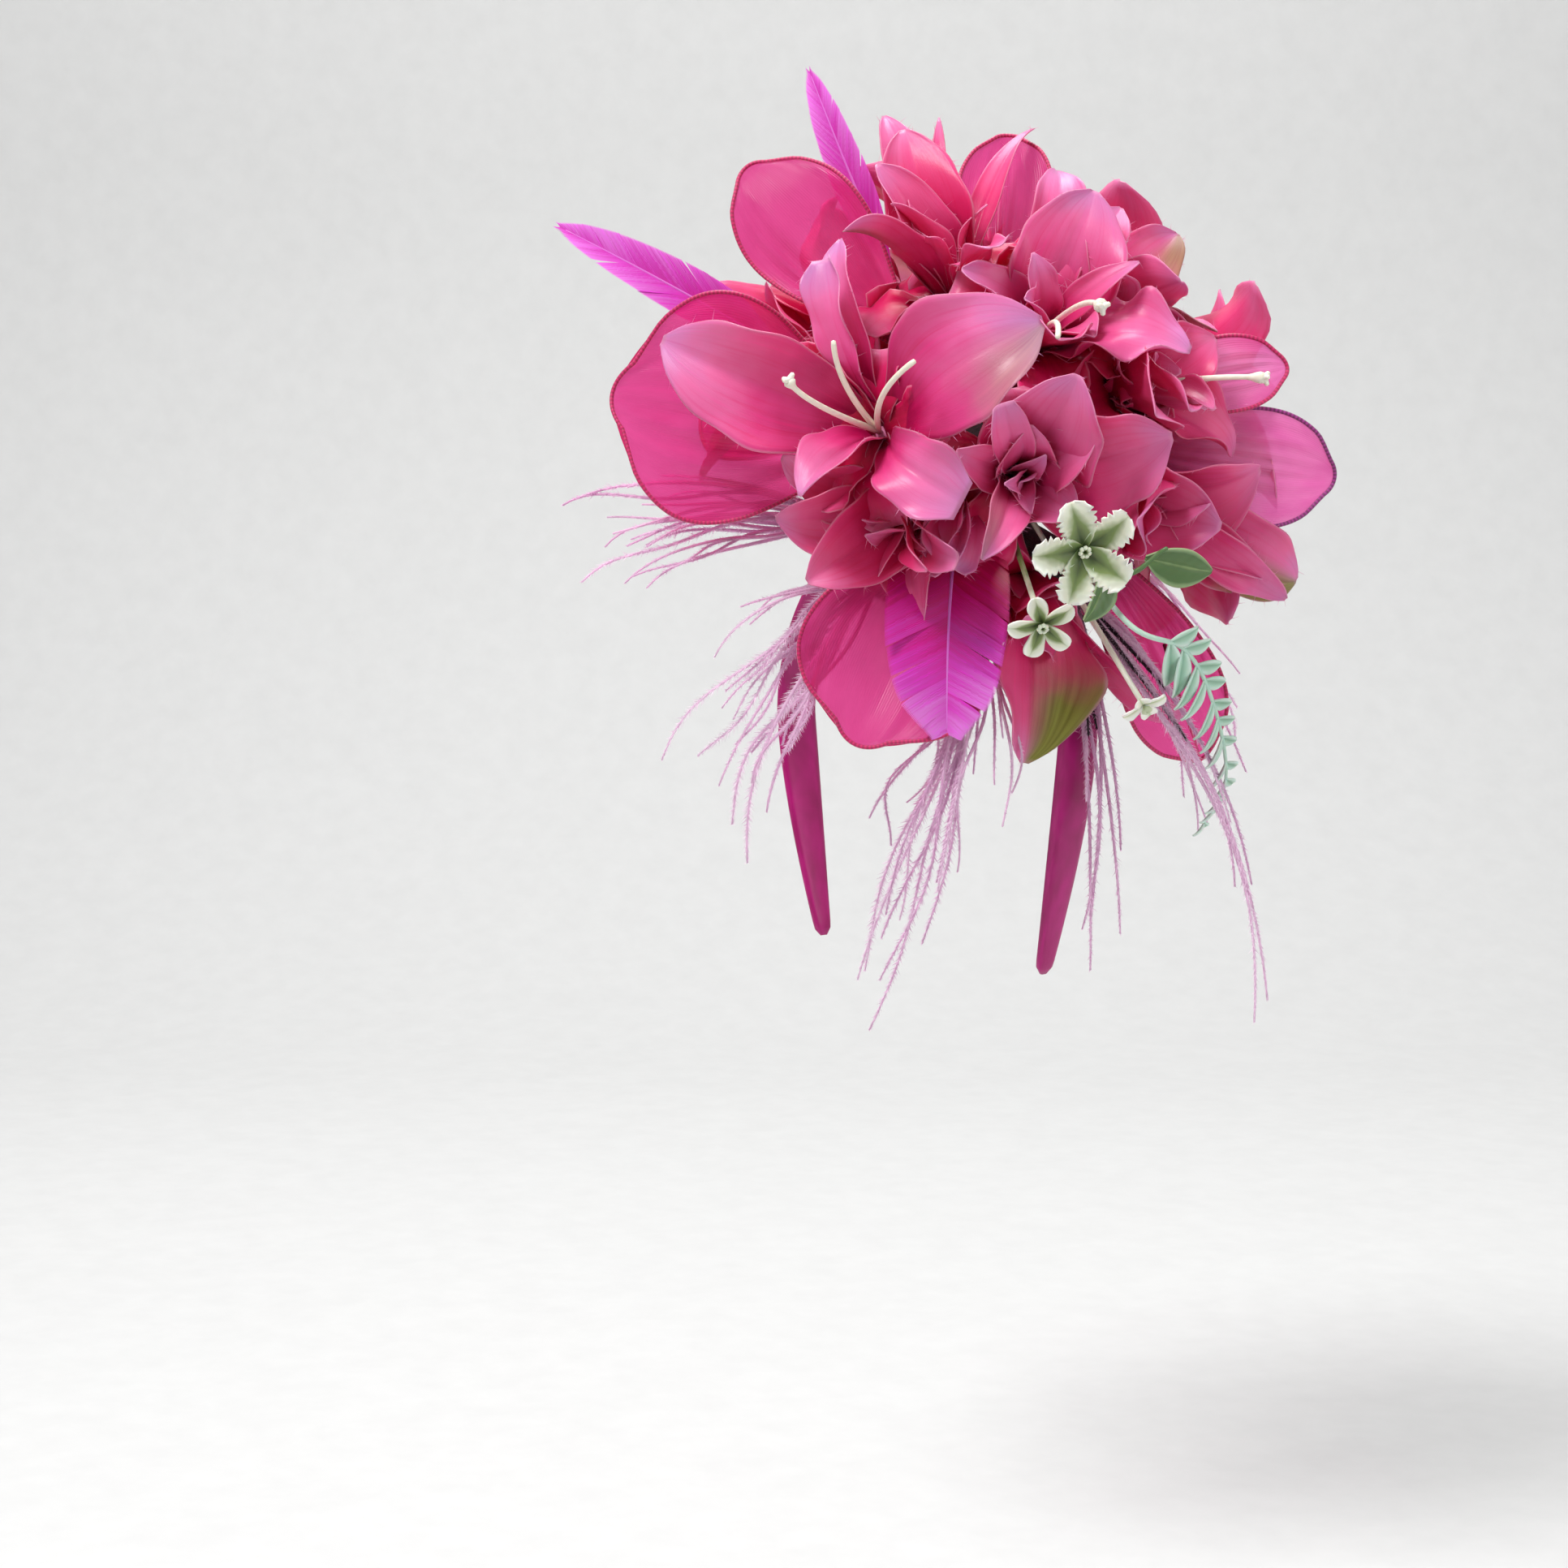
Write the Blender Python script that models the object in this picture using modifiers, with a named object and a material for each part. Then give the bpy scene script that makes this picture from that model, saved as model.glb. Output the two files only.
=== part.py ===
"""Fascinator hat: a satin headband with a felt base, satin lilies, sheer petals, feathers and sprigs.

Metres, +Z up. The origin is the inner face of the headband at the crown of the head, +X is the
wearer's left and -Y is the wearer's front. The headband lies in the plane Y = 0.
Everything on the base radiates from one spot, the heart, so the plans below give each place by its
bearing (degrees from the front towards the left), its rise (degrees above level) and its reach
(a share of the bouquet's radius) from the heart.
"""

import math

import bmesh
import bpy
import numpy as np
from mathutils import Matrix, Vector
from mathutils.bvhtree import BVHTree

# Driving sizes
BAND_INNER_RADIUS = 0.068
BAND_THICKNESS = 0.003
BAND_WIDTH = 0.017
BAND_TIP_WIDTH = 0.006
BAND_DEPTH = 0.146
BAND_TIP_INSET = 0.015
BAND_TAPER_START = 0.62
PAD_DIAMETER = 0.104
PAD_THICKNESS = 0.0025
PAD_BEARING = 77
PAD_RISE = 68
MOUND_RADIUS = 0.027
BOUQUET_RADIUS = 0.110
PETAL_WIDTH = 0.034
CLOTH_THICKNESS = 0.001
STALK_RADIUS = 0.0030
THROAT_RADIUS = 0.0052
ROOT_DEPTH = 0.3
ROOT_ASIDE = 0.5
RECEPTACLE = 0.003
PETAL_CLEAR_FROM = 0.5
SHEER_WIDTH = 0.072
FEATHER_WIDTH = 0.037
LOCK_RADIUS = 0.0015
PLUME_HEAD_RADIUS = 0.0045
HEAD_DROPS = (0.0012, 0.0009, 0.0006, 0.0003, 0)
STYLE_RADIUS = 0.0010
STEM_RADIUS = 0.0009
LEAF_LENGTH = 0.020
LEAF_WIDTH = 0.013
GAP = 0.0003
PAD_SEAT_GAP = 0.0016

# How deep the folds are: a sheet's section, and how far a leaf bows
SHEER_CUP = 0.35
PLAIN_CUP = 0.7
PLAIN_BEND = 0.12
LEAF_CUP = 0.5
LEAF_BEND = 0.06
LEAF_SPREAD = 0.7
LOCK_TIP = 0.45

# How finely the pieces are drawn: squares along and across a sheet, steps round a turned piece
PETAL_GRID = (4, 2)
PLAIN_GRID = (2, 2)
FEATHER_GRID = (5, 2)
SHEER_GRID = (5, 3)
LEAF_GRID = (2, 2)
SMALL_LEAF_GRID = (2, 1)
BAND_SQUARES = 28
PAD_STEPS = 17
WIRE_POINTS = 4
SHARP_ANGLE = 40

# How wide a sheet is along its length, as a share of its greatest width
OUTLINES = {
    "lily": ((0, 0.13), (0.15, 0.46), (0.35, 0.88), (0.55, 1.0), (0.75, 0.84), (0.9, 0.5), (1, 0.08)),
    "strap": ((0, 0.2), (0.3, 0.6), (0.6, 0.95), (0.85, 1.0), (1, 0.55)),
    "round": ((0, 0.07), (0.2, 0.2), (0.4, 0.6), (0.6, 0.94), (0.78, 1.0), (0.92, 0.74), (1, 0.3)),
    "feather": ((0, 0.08), (0.3, 0.14), (0.42, 0.62), (0.6, 1.0), (0.8, 0.86), (0.93, 0.5), (1, 0.1)),
    "plumage": ((0, 0.08), (0.15, 0.5), (0.35, 0.9), (0.6, 1.0), (0.85, 0.8), (1, 0.25)),
    "leaf": ((0, 0.12), (0.25, 0.8), (0.5, 1.0), (0.75, 0.72), (1, 0.12)),
}

# The lilies: where each throat lies from the heart
LILIES = (
    # name, bearing, rise, reach
    ("front", 14, 3, 0.54),
    ("top", 11, 65, 0.42),
    ("crown", 68, 39, 0.42),
    ("centre", 55, -10, 0.44),
    ("right", 102, 19, 0.42),
    ("side", 104, -20, 0.40),
    ("under", 16, -23, 0.38),
    ("low", 72, -59, 0.42),
    ("ridge", 132, 49, 0.40),
    ("rear", 155, 14, 0.40),
    ("peak", -112, 72, 0.38),
    ("rear_top", -176, 38, 0.40),
    ("rear_low", 150, -20, 0.38),
    ("far", -92, 30, 0.38),
    ("far_front", -38, 26, 0.40),
    ("far_rear", -134, 18, 0.38),
)

# The petals of the lilies in full view: tip from the heart, width as a share of PETAL_WIDTH
SHOWN_PETALS = (
    # lily, bearing, rise, reach, width, outline, bend, cup, twist
    ("front", -16, 15, 1.09, 1.10, "lily", 0.10, 0.5, 0),
    ("front", 59, 26, 0.76, 1.25, "lily", 0.22, 0.6, 10),
    ("front", 41, -12, 0.76, 0.70, "strap", 0.28, 0.5, -20),
    ("front", 10, -9, 0.89, 0.62, "lily", 0.16, 0.7, 15),
    ("front", 4, 36, 0.86, 0.42, "strap", 0.14, 0.9, 0),
    ("front", -7, 47, 0.79, 0.55, "lily", 0.16, 0.7, 0),
    ("top", -43, 72, 1.02, 0.50, "lily", 0.10, 0.8, 0),
    ("top", -14, 72, 0.95, 0.85, "lily", 0.10, 0.7, 0),
    ("top", 25, 68, 0.90, 0.60, "lily", 0.06, 0.8, 0),
    ("top", 7, 43, 0.89, 0.50, "lily", 0.12, 0.8, 30),
    ("top", 49, 46, 0.76, 0.45, "strap", 0.10, 0.6, 0),
    ("top", -158, 74, 0.99, 0.30, "lily", 0.08, 0.6, 0),
    ("crown", 90, 59, 0.82, 1.10, "lily", 0.10, 0.7, 0),
    ("crown", 127, 76, 0.84, 0.60, "lily", 0.14, 0.7, 0),
    ("crown", 117, 59, 0.76, 0.65, "lily", 0.14, 0.7, 0),
    ("crown", 96, 20, 0.78, 0.95, "lily", 0.14, 0.7, 0),
    ("crown", 64, 28, 0.90, 0.75, "lily", 0.08, 0.8, 0),
    ("crown", 48, 42, 0.74, 0.65, "lily", 0.12, 0.7, 0),
    ("centre", 78, -2, 0.84, 1.15, "lily", 0.16, 0.7, 15),
    ("centre", 63, 12, 0.84, 1.15, "lily", 0.14, 0.7, -10),
    ("centre", 49, 7, 0.81, 0.40, "strap", 0.16, 0.8, 0),
    ("centre", 46, -22, 0.82, 0.45, "lily", 0.14, 0.8, 0),
    ("centre", 63, -14, 0.74, 0.70, "lily", 0.08, 0.8, 0),
    ("centre", 40, -2, 0.74, 0.50, "lily", 0.14, 0.7, 0),
    ("right", 112, 22, 0.75, 0.80, "lily", 0.12, 0.7, 0),
    ("right", 93, 8, 0.79, 0.75, "lily", 0.08, 0.8, 0),
    ("right", 122, -2, 0.74, 0.80, "lily", 0.14, 0.7, 0),
    ("right", 77, 8, 0.86, 0.85, "lily", 0.10, 0.7, 0),
    ("right", 107, 3, 0.76, 0.70, "lily", 0.10, 0.7, 0),
    ("right", 84, 24, 0.78, 0.70, "lily", 0.10, 0.7, 0),
    ("side", 119, -6, 0.82, 1.10, "lily", 0.14, 0.7, 0),
    ("side", 108, -24, 0.81, 1.00, "lily", 0.10, 0.7, 10),
    ("side", 146, -24, 0.99, 0.85, "lily", 0.14, 0.6, 0),
    ("side", 140, -30, 0.94, 0.50, "lily", 0.18, 0.9, 30),
    ("side", 84, -23, 0.83, 0.80, "lily", 0.10, 0.7, 0),
    ("side", 77, -8, 0.79, 0.80, "lily", 0.12, 0.7, 0),
    ("under", 5, -27, 0.85, 0.85, "lily", 0.12, 0.7, 0),
    ("under", -9, -17, 0.77, 0.80, "lily", 0.14, 0.7, 0),
    ("under", 39, -23, 0.81, 0.42, "strap", 0.12, 0.9, 0),
    ("under", 31, -26, 0.80, 0.38, "lily", 0.10, 0.8, 0),
    ("under", -3, -7, 0.76, 0.70, "lily", 0.12, 0.7, 0),
    ("under", 9, -48, 0.72, 0.65, "lily", 0.14, 0.7, 0),
    ("low", 65, -69, 0.98, 1.25, "lily", 0.14, 0.6, 0),
    ("low", 119, -68, 1.02, 0.32, "strap", 0.08, 0.6, 0),
    ("low", 99, -41, 0.85, 1.00, "lily", 0.14, 0.7, 0),
    ("low", 46, -34, 0.76, 0.60, "lily", 0.12, 0.7, 0),
    ("low", 72, -31, 0.74, 0.75, "lily", 0.10, 0.7, 0),
    ("low", 92, -60, 0.84, 0.70, "lily", 0.12, 0.7, 0),
    ("ridge", 143, 48, 0.83, 0.75, "lily", 0.12, 0.7, 0),
    ("ridge", 114, 40, 0.77, 0.80, "lily", 0.12, 0.7, 0),
    ("ridge", 132, 34, 0.76, 0.55, "lily", 0.12, 0.7, 0),
    ("ridge", 108, 51, 0.75, 0.75, "lily", 0.10, 0.7, 0),
    ("ridge", 127, 23, 0.76, 0.85, "lily", 0.14, 0.7, 0),
    ("ridge", 150, 66, 0.80, 0.70, "lily", 0.12, 0.7, 0),
)

# The lilies out of sight have plain petals, set round the axis and opened by these angles
PLAIN_PETALS = 4
PLAIN_LENGTH = 0.58
PLAIN_WIDTH = 1.0
PLAIN_OPEN = 44
PLAIN_SPREAD = 12
PLAIN_STAGGER = 0.3

# Sheer round petals: tip and facing from the heart, width as a share of SHEER_WIDTH
SHEER_PETALS = (
    # name, root bearing, root rise, tip bearing, tip rise, reach, width, face bearing, face rise, bend, outline
    ("left", -8, -4, -31, 10, 1.07, 1.00, 50, 6, 0.06, "round"),
    ("top_left", -14, 46, -40, 48, 1.04, 0.55, 50, 6, 0.08, "round"),
    ("top", 62, 84, -143, 72, 0.94, 0.42, 50, 30, 0.04, "round"),
    ("right", 128, 0, 134, -6, 0.98, 0.52, 60, 0, 0.06, "round"),
    ("right_top", 126, 20, 136, 10, 0.86, 0.36, 60, 20, 0.06, "round"),
    ("low_left", 14, -52, -12, -61, 0.98, 0.84, 50, 6, 0.05, "round"),
    ("low_right", 130, -40, 153, -60, 1.10, 0.50, 70, 0, 0.05, "round"),
    ("rear", 176, 4, 178, 0, 1.00, 0.70, 120, 10, 0.08, "round"),
    ("far", -70, 8, -72, 10, 1.00, 0.70, -20, 20, 0.08, "round"),
)

# Goose feathers, laid out as the sheer petals are
FEATHERS = (
    # name, root bearing, root rise, tip bearing, tip rise, reach, width, face bearing, face rise, bend, outline
    ("left", -36, 8, -33, 26, 1.41, 0.46, 50, 20, 0.05, "feather"),
    ("top", -64, 50, -58, 63, 1.23, 0.36, 30, 6, 0.04, "feather"),
    ("low", 24, -36, 30, -53, 0.98, 1.05, 40, 0, 0.16, "plumage"),
)

# Cream pistils and stamens: tips from the heart, how far each bows outwards, and the bulb's size
PISTILS = (
    # lily, bearing, rise, reach, bow, bulb
    ("front", 11, 10, 0.95, 0.20, 2.2),
    ("front", 32, 15, 0.84, 0.18, 1.0),
    ("front", 16, 18, 0.88, 0.14, 1.0),
    ("crown", 69, 25, 0.86, 0.16, 2.6),
    ("crown", 60, 20, 0.82, 0.16, 1.0),
    ("right", 112, 12, 0.86, 0.10, 2.2),
)

# Ostrich plumes: where each is rooted on the pad, then its locks
PLUME_ROOTS = {
    # name: bearing and share of the way to the pad's rim
    "front": (-36, 0.80), "temple": (14, 0.84), "lower": (58, 0.84), "side": (98, 0.84), "rear": (176, 0.80),
}
LOCKS = (
    # plume, bearing, rise, reach, bow
    ("front", -33, -9, 1.26, 0.10),
    ("front", -27, -12, 1.17, 0.06),
    ("front", -28, -18, 1.28, 0.08),
    ("front", -22, -20, 1.16, 0.05),
    ("front", -42, -16, 1.10, 0.10),
    ("temple", -21, -43, 1.35, 0.12),
    ("temple", -17, -47, 1.30, 0.08),
    ("temple", -13, -54, 1.45, 0.10),
    ("temple", -8, -51, 1.31, 0.06),
    ("temple", -18, -36, 1.06, 0.14),
    ("lower", 8, -66, 1.25, 0.14),
    ("lower", 4, -71, 1.63, 0.12),
    ("lower", 10, -73, 1.75, 0.10),
    ("lower", 16, -70, 1.50, 0.08),
    ("lower", 34, -69, 1.30, 0.06),
    ("lower", 55, -67, 1.26, 0.08),
    ("side", 121, -67, 1.49, 0.12),
    ("side", 110, -69, 1.50, 0.08),
    ("side", 100, -72, 1.59, 0.08),
    ("side", 108, -72, 1.83, 0.12),
    ("side", 133, -61, 1.29, 0.10),
    ("rear", 172, -44, 1.25, 0.12),
    ("rear", 158, -50, 1.35, 0.10),
    ("rear", -174, -40, 1.15, 0.12),
    ("rear", 180, -52, 1.40, 0.10),
)

# Sprigs: the spots that the stem passes, from its root on the mound outwards
SPRIG_STEMS = {
    "leaf_pair": ((80, -30, 0.25), (76, -27, 0.78), (82, -19, 0.88)),
    "trailing_sprig": (
        (88, -36, 0.25), (76, -30, 0.84), (90, -33, 0.94), (101, -41, 1.06), (109, -49, 1.22), (112, -56, 1.30),
    ),
}
LEAF_PAIRS = 4
LEAVES = [
    # sprig, share along the stem, side, length and width as shares of LEAF_LENGTH and LEAF_WIDTH
    ("leaf_pair", 0.72, -1, 1.0, 0.9),
    ("leaf_pair", 0.90, 1, 1.1, 1.0),
]
LEAVES += [("trailing_sprig", 0.52 + 0.08 * pair, 1, 0.80 - 0.09 * pair, 0.42) for pair in range(LEAF_PAIRS)]
LEAVES += [("trailing_sprig", 0.49 + 0.08 * pair, -1, 0.44 - 0.03 * pair, 0.38) for pair in range(LEAF_PAIRS)]

# Small flowers of greenery: stem root, head, and the lobes round it
SMALL_FLOWERS = (
    # name, root bearing, root rise, bearing, rise, reach, lobes, length, width
    ("variegated_sprig", 66, -22, 63, -18, 0.92, 5, 0.95, 1.10),
    ("lobed_flower", 54, -36, 57, -32, 0.92, 5, 0.62, 0.52),
    ("white_bud", 90, -52, 86, -47, 0.99, 4, 0.42, 0.46),
)

PINK, SHEER_PINK, MAGENTA, PLUME_PINK = "D84C86", "B5185F", "C42FA0", "C9A0BE"
CREAM, BAND_PINK, DARK_FELT, LEAF_GREEN, MINT = "E0DCCB", "A3206B", "2A1016", "4F6A3F", "9DC3AE"


def bearing_vector(bearing, rise):
    """The unit vector that points along a bearing and a rise, both in degrees."""
    turn, lift = math.radians(bearing), math.radians(rise)
    return Vector((math.sin(turn) * math.cos(lift), -math.cos(turn) * math.cos(lift), math.sin(lift)))


HEAD_CENTRE = Vector((0, 0, -BAND_INNER_RADIUS))
PAD_AXIS = bearing_vector(PAD_BEARING, PAD_RISE)
PAD_INNER_RADIUS = BAND_INNER_RADIUS + BAND_THICKNESS + PAD_SEAT_GAP
PAD_OUTER_RADIUS = PAD_INNER_RADIUS + PAD_THICKNESS
PAD_RIM_ANGLE = PAD_DIAMETER / 2 / PAD_OUTER_RADIUS
HEART = HEAD_CENTRE + PAD_AXIS * (PAD_OUTER_RADIUS + MOUND_RADIUS - CLOTH_THICKNESS)


def spot(bearing, rise, reach):
    """A place given from the heart, its reach as a share of the bouquet's radius."""
    return HEART + bearing_vector(bearing, rise) * (reach * BOUQUET_RADIUS)


def on_mound(bearing, rise):
    """A place just clear of the mound's surface."""
    return HEART + bearing_vector(bearing, rise) * (MOUND_RADIUS + GAP)


def read_table(table, share):
    """Reads a table of (share, value) rows with a smooth curve through them."""
    places = [row[0] for row in table]
    values = [row[1] for row in table]
    last = len(table) - 1
    index = min(max(int(np.searchsorted(places, share)) - 1, 0), last - 1)
    span = places[index + 1] - places[index]
    mix = (share - places[index]) / span

    def slope(at):
        before, after = max(at - 1, 0), min(at + 1, last)
        return (values[after] - values[before]) / (places[after] - places[before]) * span

    square, cube = mix * mix, mix ** 3
    return (
        (2 * cube - 3 * square + 1) * values[index] + (cube - 2 * square + mix) * slope(index)
        + (3 * square - 2 * cube) * values[index + 1] + (cube - square) * slope(index + 1)
    )


def clear_scene():
    for leftover in list(bpy.data.objects):
        bpy.data.objects.remove(leftover, do_unlink=True)


def new_collection(name):
    made = bpy.data.collections.new(name)
    bpy.context.scene.collection.children.link(made)
    return made


def finish(name, colour, roughness=0.5):
    """A Principled material in a colour given as sRGB hex."""
    material = bpy.data.materials.new(name)
    material.use_nodes = True
    shader = material.node_tree.nodes["Principled BSDF"]
    channels = [int(colour[at:at + 2], 16) / 255 for at in (0, 2, 4)]
    shader.inputs["Base Color"].default_value = (*[channel ** 2.2 for channel in channels], 1)
    shader.inputs["Roughness"].default_value = roughness
    shader.inputs["Metallic"].default_value = 0.0
    return material


def solid_of(work):
    """The points and faces of a bmesh, which is then freed."""
    bmesh.ops.recalc_face_normals(work, faces=work.faces)
    work.verts.index_update()
    points = [vert.co.copy() for vert in work.verts]
    faces = [[vert.index for vert in face.verts] for face in work.faces]
    work.free()
    return points, faces


def sheet(plan, steps, margin=0.0, start=0.0):
    """A thin cloth sheet whose middle line bows from base to tip and whose section is an arc."""
    forward = (plan["tip"] - plan["base"]).normalized()
    base = plan["base"] - forward * margin
    chord = plan["tip"] + forward * margin - base
    facing = (plan["facing"] - forward * plan["facing"].dot(forward)).normalized()
    side = forward.cross(facing)
    thickness = CLOTH_THICKNESS + 2 * margin
    bow = 4 * plan["bend"] * chord.length
    cup = plan["cup"]
    work = bmesh.new()
    bmesh.ops.create_grid(work, x_segments=steps[0], y_segments=steps[1], size=1.0)
    for vert in work.verts:
        share, across = start + (1 - start) * (vert.co.x + 1) / 2, vert.co.y
        ahead = (chord + facing * (bow * (1 - 2 * share))).normalized()
        turn = Matrix.Rotation(math.radians(plan["twist"]) * share, 3, ahead)
        half = plan["width"] / 2 * read_table(OUTLINES[plan["outline"]], share) + margin
        sideways = turn @ side * (half * math.sin(cup * across) / cup)
        upwards = turn @ side.cross(ahead) * (half * (1 - math.cos(cup * across)) / cup)
        vert.co = base + chord * share + facing * (bow * share * (1 - share)) + sideways + upwards
    work.normal_update()
    for vert, normal in [(vert, vert.normal.copy()) for vert in work.verts]:
        vert.co += normal * thickness / 2
    bmesh.ops.solidify(work, geom=work.faces[:], thickness=thickness)
    return solid_of(work)


def welded_solid(mesh, matrix=None):
    """The solid of a mesh whose loose caps are welded to its sides."""
    work = bmesh.new()
    work.from_mesh(mesh)
    if matrix:
        work.transform(matrix)
    bmesh.ops.remove_doubles(work, verts=work.verts, dist=1e-6)
    return solid_of(work)


def rod(points, radii, margin=0.0):
    """A tapered wire of four sides through a few points, closed at both ends."""
    curve = bpy.data.curves.new("rod", "CURVE")
    curve.dimensions = "3D"
    curve.bevel_depth = 1.0
    curve.bevel_resolution = 0
    curve.use_fill_caps = True
    spline = curve.splines.new("POLY")
    spline.points.add(len(points) - 1)
    for knot, place, radius in zip(spline.points, points, radii):
        knot.co = (*place, 1)
        knot.radius = radius + margin
    holder = bpy.data.objects.new("rod", curve)
    bpy.context.scene.collection.objects.link(holder)
    mesh = bpy.data.meshes.new_from_object(holder.evaluated_get(bpy.context.evaluated_depsgraph_get()))
    solid = welded_solid(mesh)
    bpy.data.objects.remove(holder, do_unlink=True)
    bpy.data.curves.remove(curve)
    bpy.data.meshes.remove(mesh)
    return solid


def ball(centre, radius, margin=0.0):
    work = bmesh.new()
    place = Matrix.Translation(centre)
    bmesh.ops.create_uvsphere(work, u_segments=6, v_segments=4, radius=radius + margin, matrix=place)
    return solid_of(work)


def bowed(start, end, bow, outward):
    """Points along a parabola from start to end that bows by a share of its length."""
    chord = end - start
    rise = outward * (4 * bow * chord.length)
    return [start + chord * share + rise * (share * (1 - share)) for share in np.linspace(0, 1, WIRE_POINTS)]


class Bouquet:
    """Keeps each piece laid so far, so that the next one can be laid clear of the others."""

    def __init__(self):
        self.solids, self.skins, self.blades, self.heads = {}, {}, {}, {}

    @staticmethod
    def row(solid):
        points, faces = solid
        return np.min(points, axis=0), np.max(points, axis=0), BVHTree.FromPolygons(points, faces)

    def crosses(self, solid, rows):
        low, high = np.min(solid[0], axis=0), np.max(solid[0], axis=0)
        near = [tree for least, most, tree in rows if (low <= most).all() and (high >= least).all()]
        tree = BVHTree.FromPolygons(*solid) if near else None
        return any(tree.overlap(other) for other in near)

    def is_clear(self, node, grown, blade):
        """True if no grown solid meets another node and the blade meets no blade of its own node."""
        others = [row for other, rows in self.skins.items() if other != node for row in rows]
        if any(self.crosses(solid, others) for solid in grown):
            return False
        return blade is None or not self.crosses(blade, self.blades.get(node, []))

    def lay(self, node, solid, blade=None):
        self.solids.setdefault(node, []).append(solid)
        self.skins.setdefault(node, []).append(self.row(solid))
        if blade:
            self.blades.setdefault(node, []).append(self.row(blade))

    def settle(self, node, make, blade_of=None):
        """Lays solids at the first of several moves, the smallest first, that is clear of the rest."""
        strict = [(move, True) for move in MOVES] if blade_of else []
        for move, apart in strict + [(move, False) for move in MOVES]:
            blade = blade_of(move) if blade_of else None
            if self.is_clear(node, make(move, GAP), blade if apart else None):
                for solid in make(move, 0.0):
                    self.lay(node, solid, blade)
                    blade = None
                return
        print("no clear place left in", node)


# How a piece may be moved: degrees round its axis, degrees towards it, and its length
MOVES = sorted(
    (
        (swing, lift, share)
        for swing in (0, 8, -8, 16, -16, 24, -24, 32, -32)
        for lift in (0, 8, -8, 16, -16, 24, 32, 40)
        for share in (1, 0.88, 0.76, 0.64, 0.52, 0.42)
    ),
    key=lambda move: abs(move[0]) + abs(move[1]) + 90 * (1 - move[2]),
)


def moved(places, axis, move):
    """The places after the first, swung round an axis through it, lifted to it and drawn in."""
    swing, lift, share = move
    root = places[0]
    turn = Matrix.Rotation(math.radians(swing), 3, axis)
    across = (turn @ (places[-1] - root)).cross(axis)
    if across.length > 1e-9:
        turn = Matrix.Rotation(math.radians(lift), 3, across.normalized()) @ turn
    return [root + turn @ (place - root) * share for place in places]


def lay_sheet(bouquet, node, plan, axis, steps, own_clear_from=None):
    """Lays a sheet; its part beyond own_clear_from also stays clear of its own node's sheets."""
    def at(move):
        base, tip = moved([plan["base"], plan["tip"]], axis, move)
        return {**plan, "base": base, "tip": tip}

    def make(move, margin):
        return [sheet(at(move), steps, margin)]

    def blade_of(move):
        return sheet(at(move), steps, GAP, own_clear_from)

    bouquet.settle(node, make, blade_of if own_clear_from else None)


def mesh_object(label, group, collection):
    """An object whose mesh holds several solids side by side."""
    mesh = bpy.data.meshes.new(label)
    points, faces = [], []
    for some_points, some_faces in group:
        shift = len(points)
        points += [tuple(point) for point in some_points]
        faces += [[index + shift for index in face] for face in some_faces]
    mesh.from_pydata(points, [], faces)
    made = bpy.data.objects.new(label, mesh)
    collection.objects.link(made)
    return made


def outer_skin(work):
    """Keeps the largest closed surface of a fused mesh and drops the voids shut inside it."""
    left = set(work.verts)
    islands = []
    while left:
        island, edge = set(), [left.pop()]
        while edge:
            vert = edge.pop()
            island.add(vert)
            near = [link.other_vert(vert) for link in vert.link_edges]
            edge += [other for other in near if other in left]
            left.difference_update(near)
        islands.append(island)

    def size(island):
        places = np.array([vert.co for vert in island])
        return np.linalg.norm(places.max(axis=0) - places.min(axis=0))

    keep = max(islands, key=size)
    bmesh.ops.delete(work, geom=[vert for vert in work.verts if vert not in keep], context="VERTS")


def fuse(name, solids, material, parts):
    """One object of several solids, joined by a Boolean union of the first with all the others."""
    made = mesh_object(name, solids[1:] or solids, parts)
    if len(solids) > 1:
        core = mesh_object(name + "_core", solids[:1], parts)
        union = made.modifiers.new("fuse", "BOOLEAN")
        union.operation = "UNION"
        union.solver = "EXACT"
        union.use_self = True
        union.object = core
        shape = made.evaluated_get(bpy.context.evaluated_depsgraph_get())
        work = bmesh.new()
        work.from_mesh(shape.to_mesh())
        shape.to_mesh_clear()
        outer_skin(work)
        made.modifiers.remove(union)
        work.to_mesh(made.data)
        work.free()
        bpy.data.objects.remove(core, do_unlink=True)
    made.data.materials.append(material)
    made.data.shade_smooth()
    made.data.set_sharp_from_angle(angle=math.radians(SHARP_ANGLE))


def band_path(share):
    """The headband's inner line in the plane Y = 0, from the right tip at 0 to the left tip at 1."""
    sign = -1 if share < 0.5 else 1
    arc = BAND_INNER_RADIUS * math.pi / 2
    leg = BAND_DEPTH - BAND_INNER_RADIUS
    run = abs(share - 0.5) * 2 * (arc + leg)
    if run < arc:
        angle = run / BAND_INNER_RADIUS
        return Vector((sign * BAND_INNER_RADIUS * math.sin(angle), 0, BAND_INNER_RADIUS * (math.cos(angle) - 1)))
    down = (run - arc) / leg
    inset = BAND_TIP_INSET * down ** 1.3
    return Vector((sign * (BAND_INNER_RADIUS - inset), 0, -BAND_INNER_RADIUS - leg * down))


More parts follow.
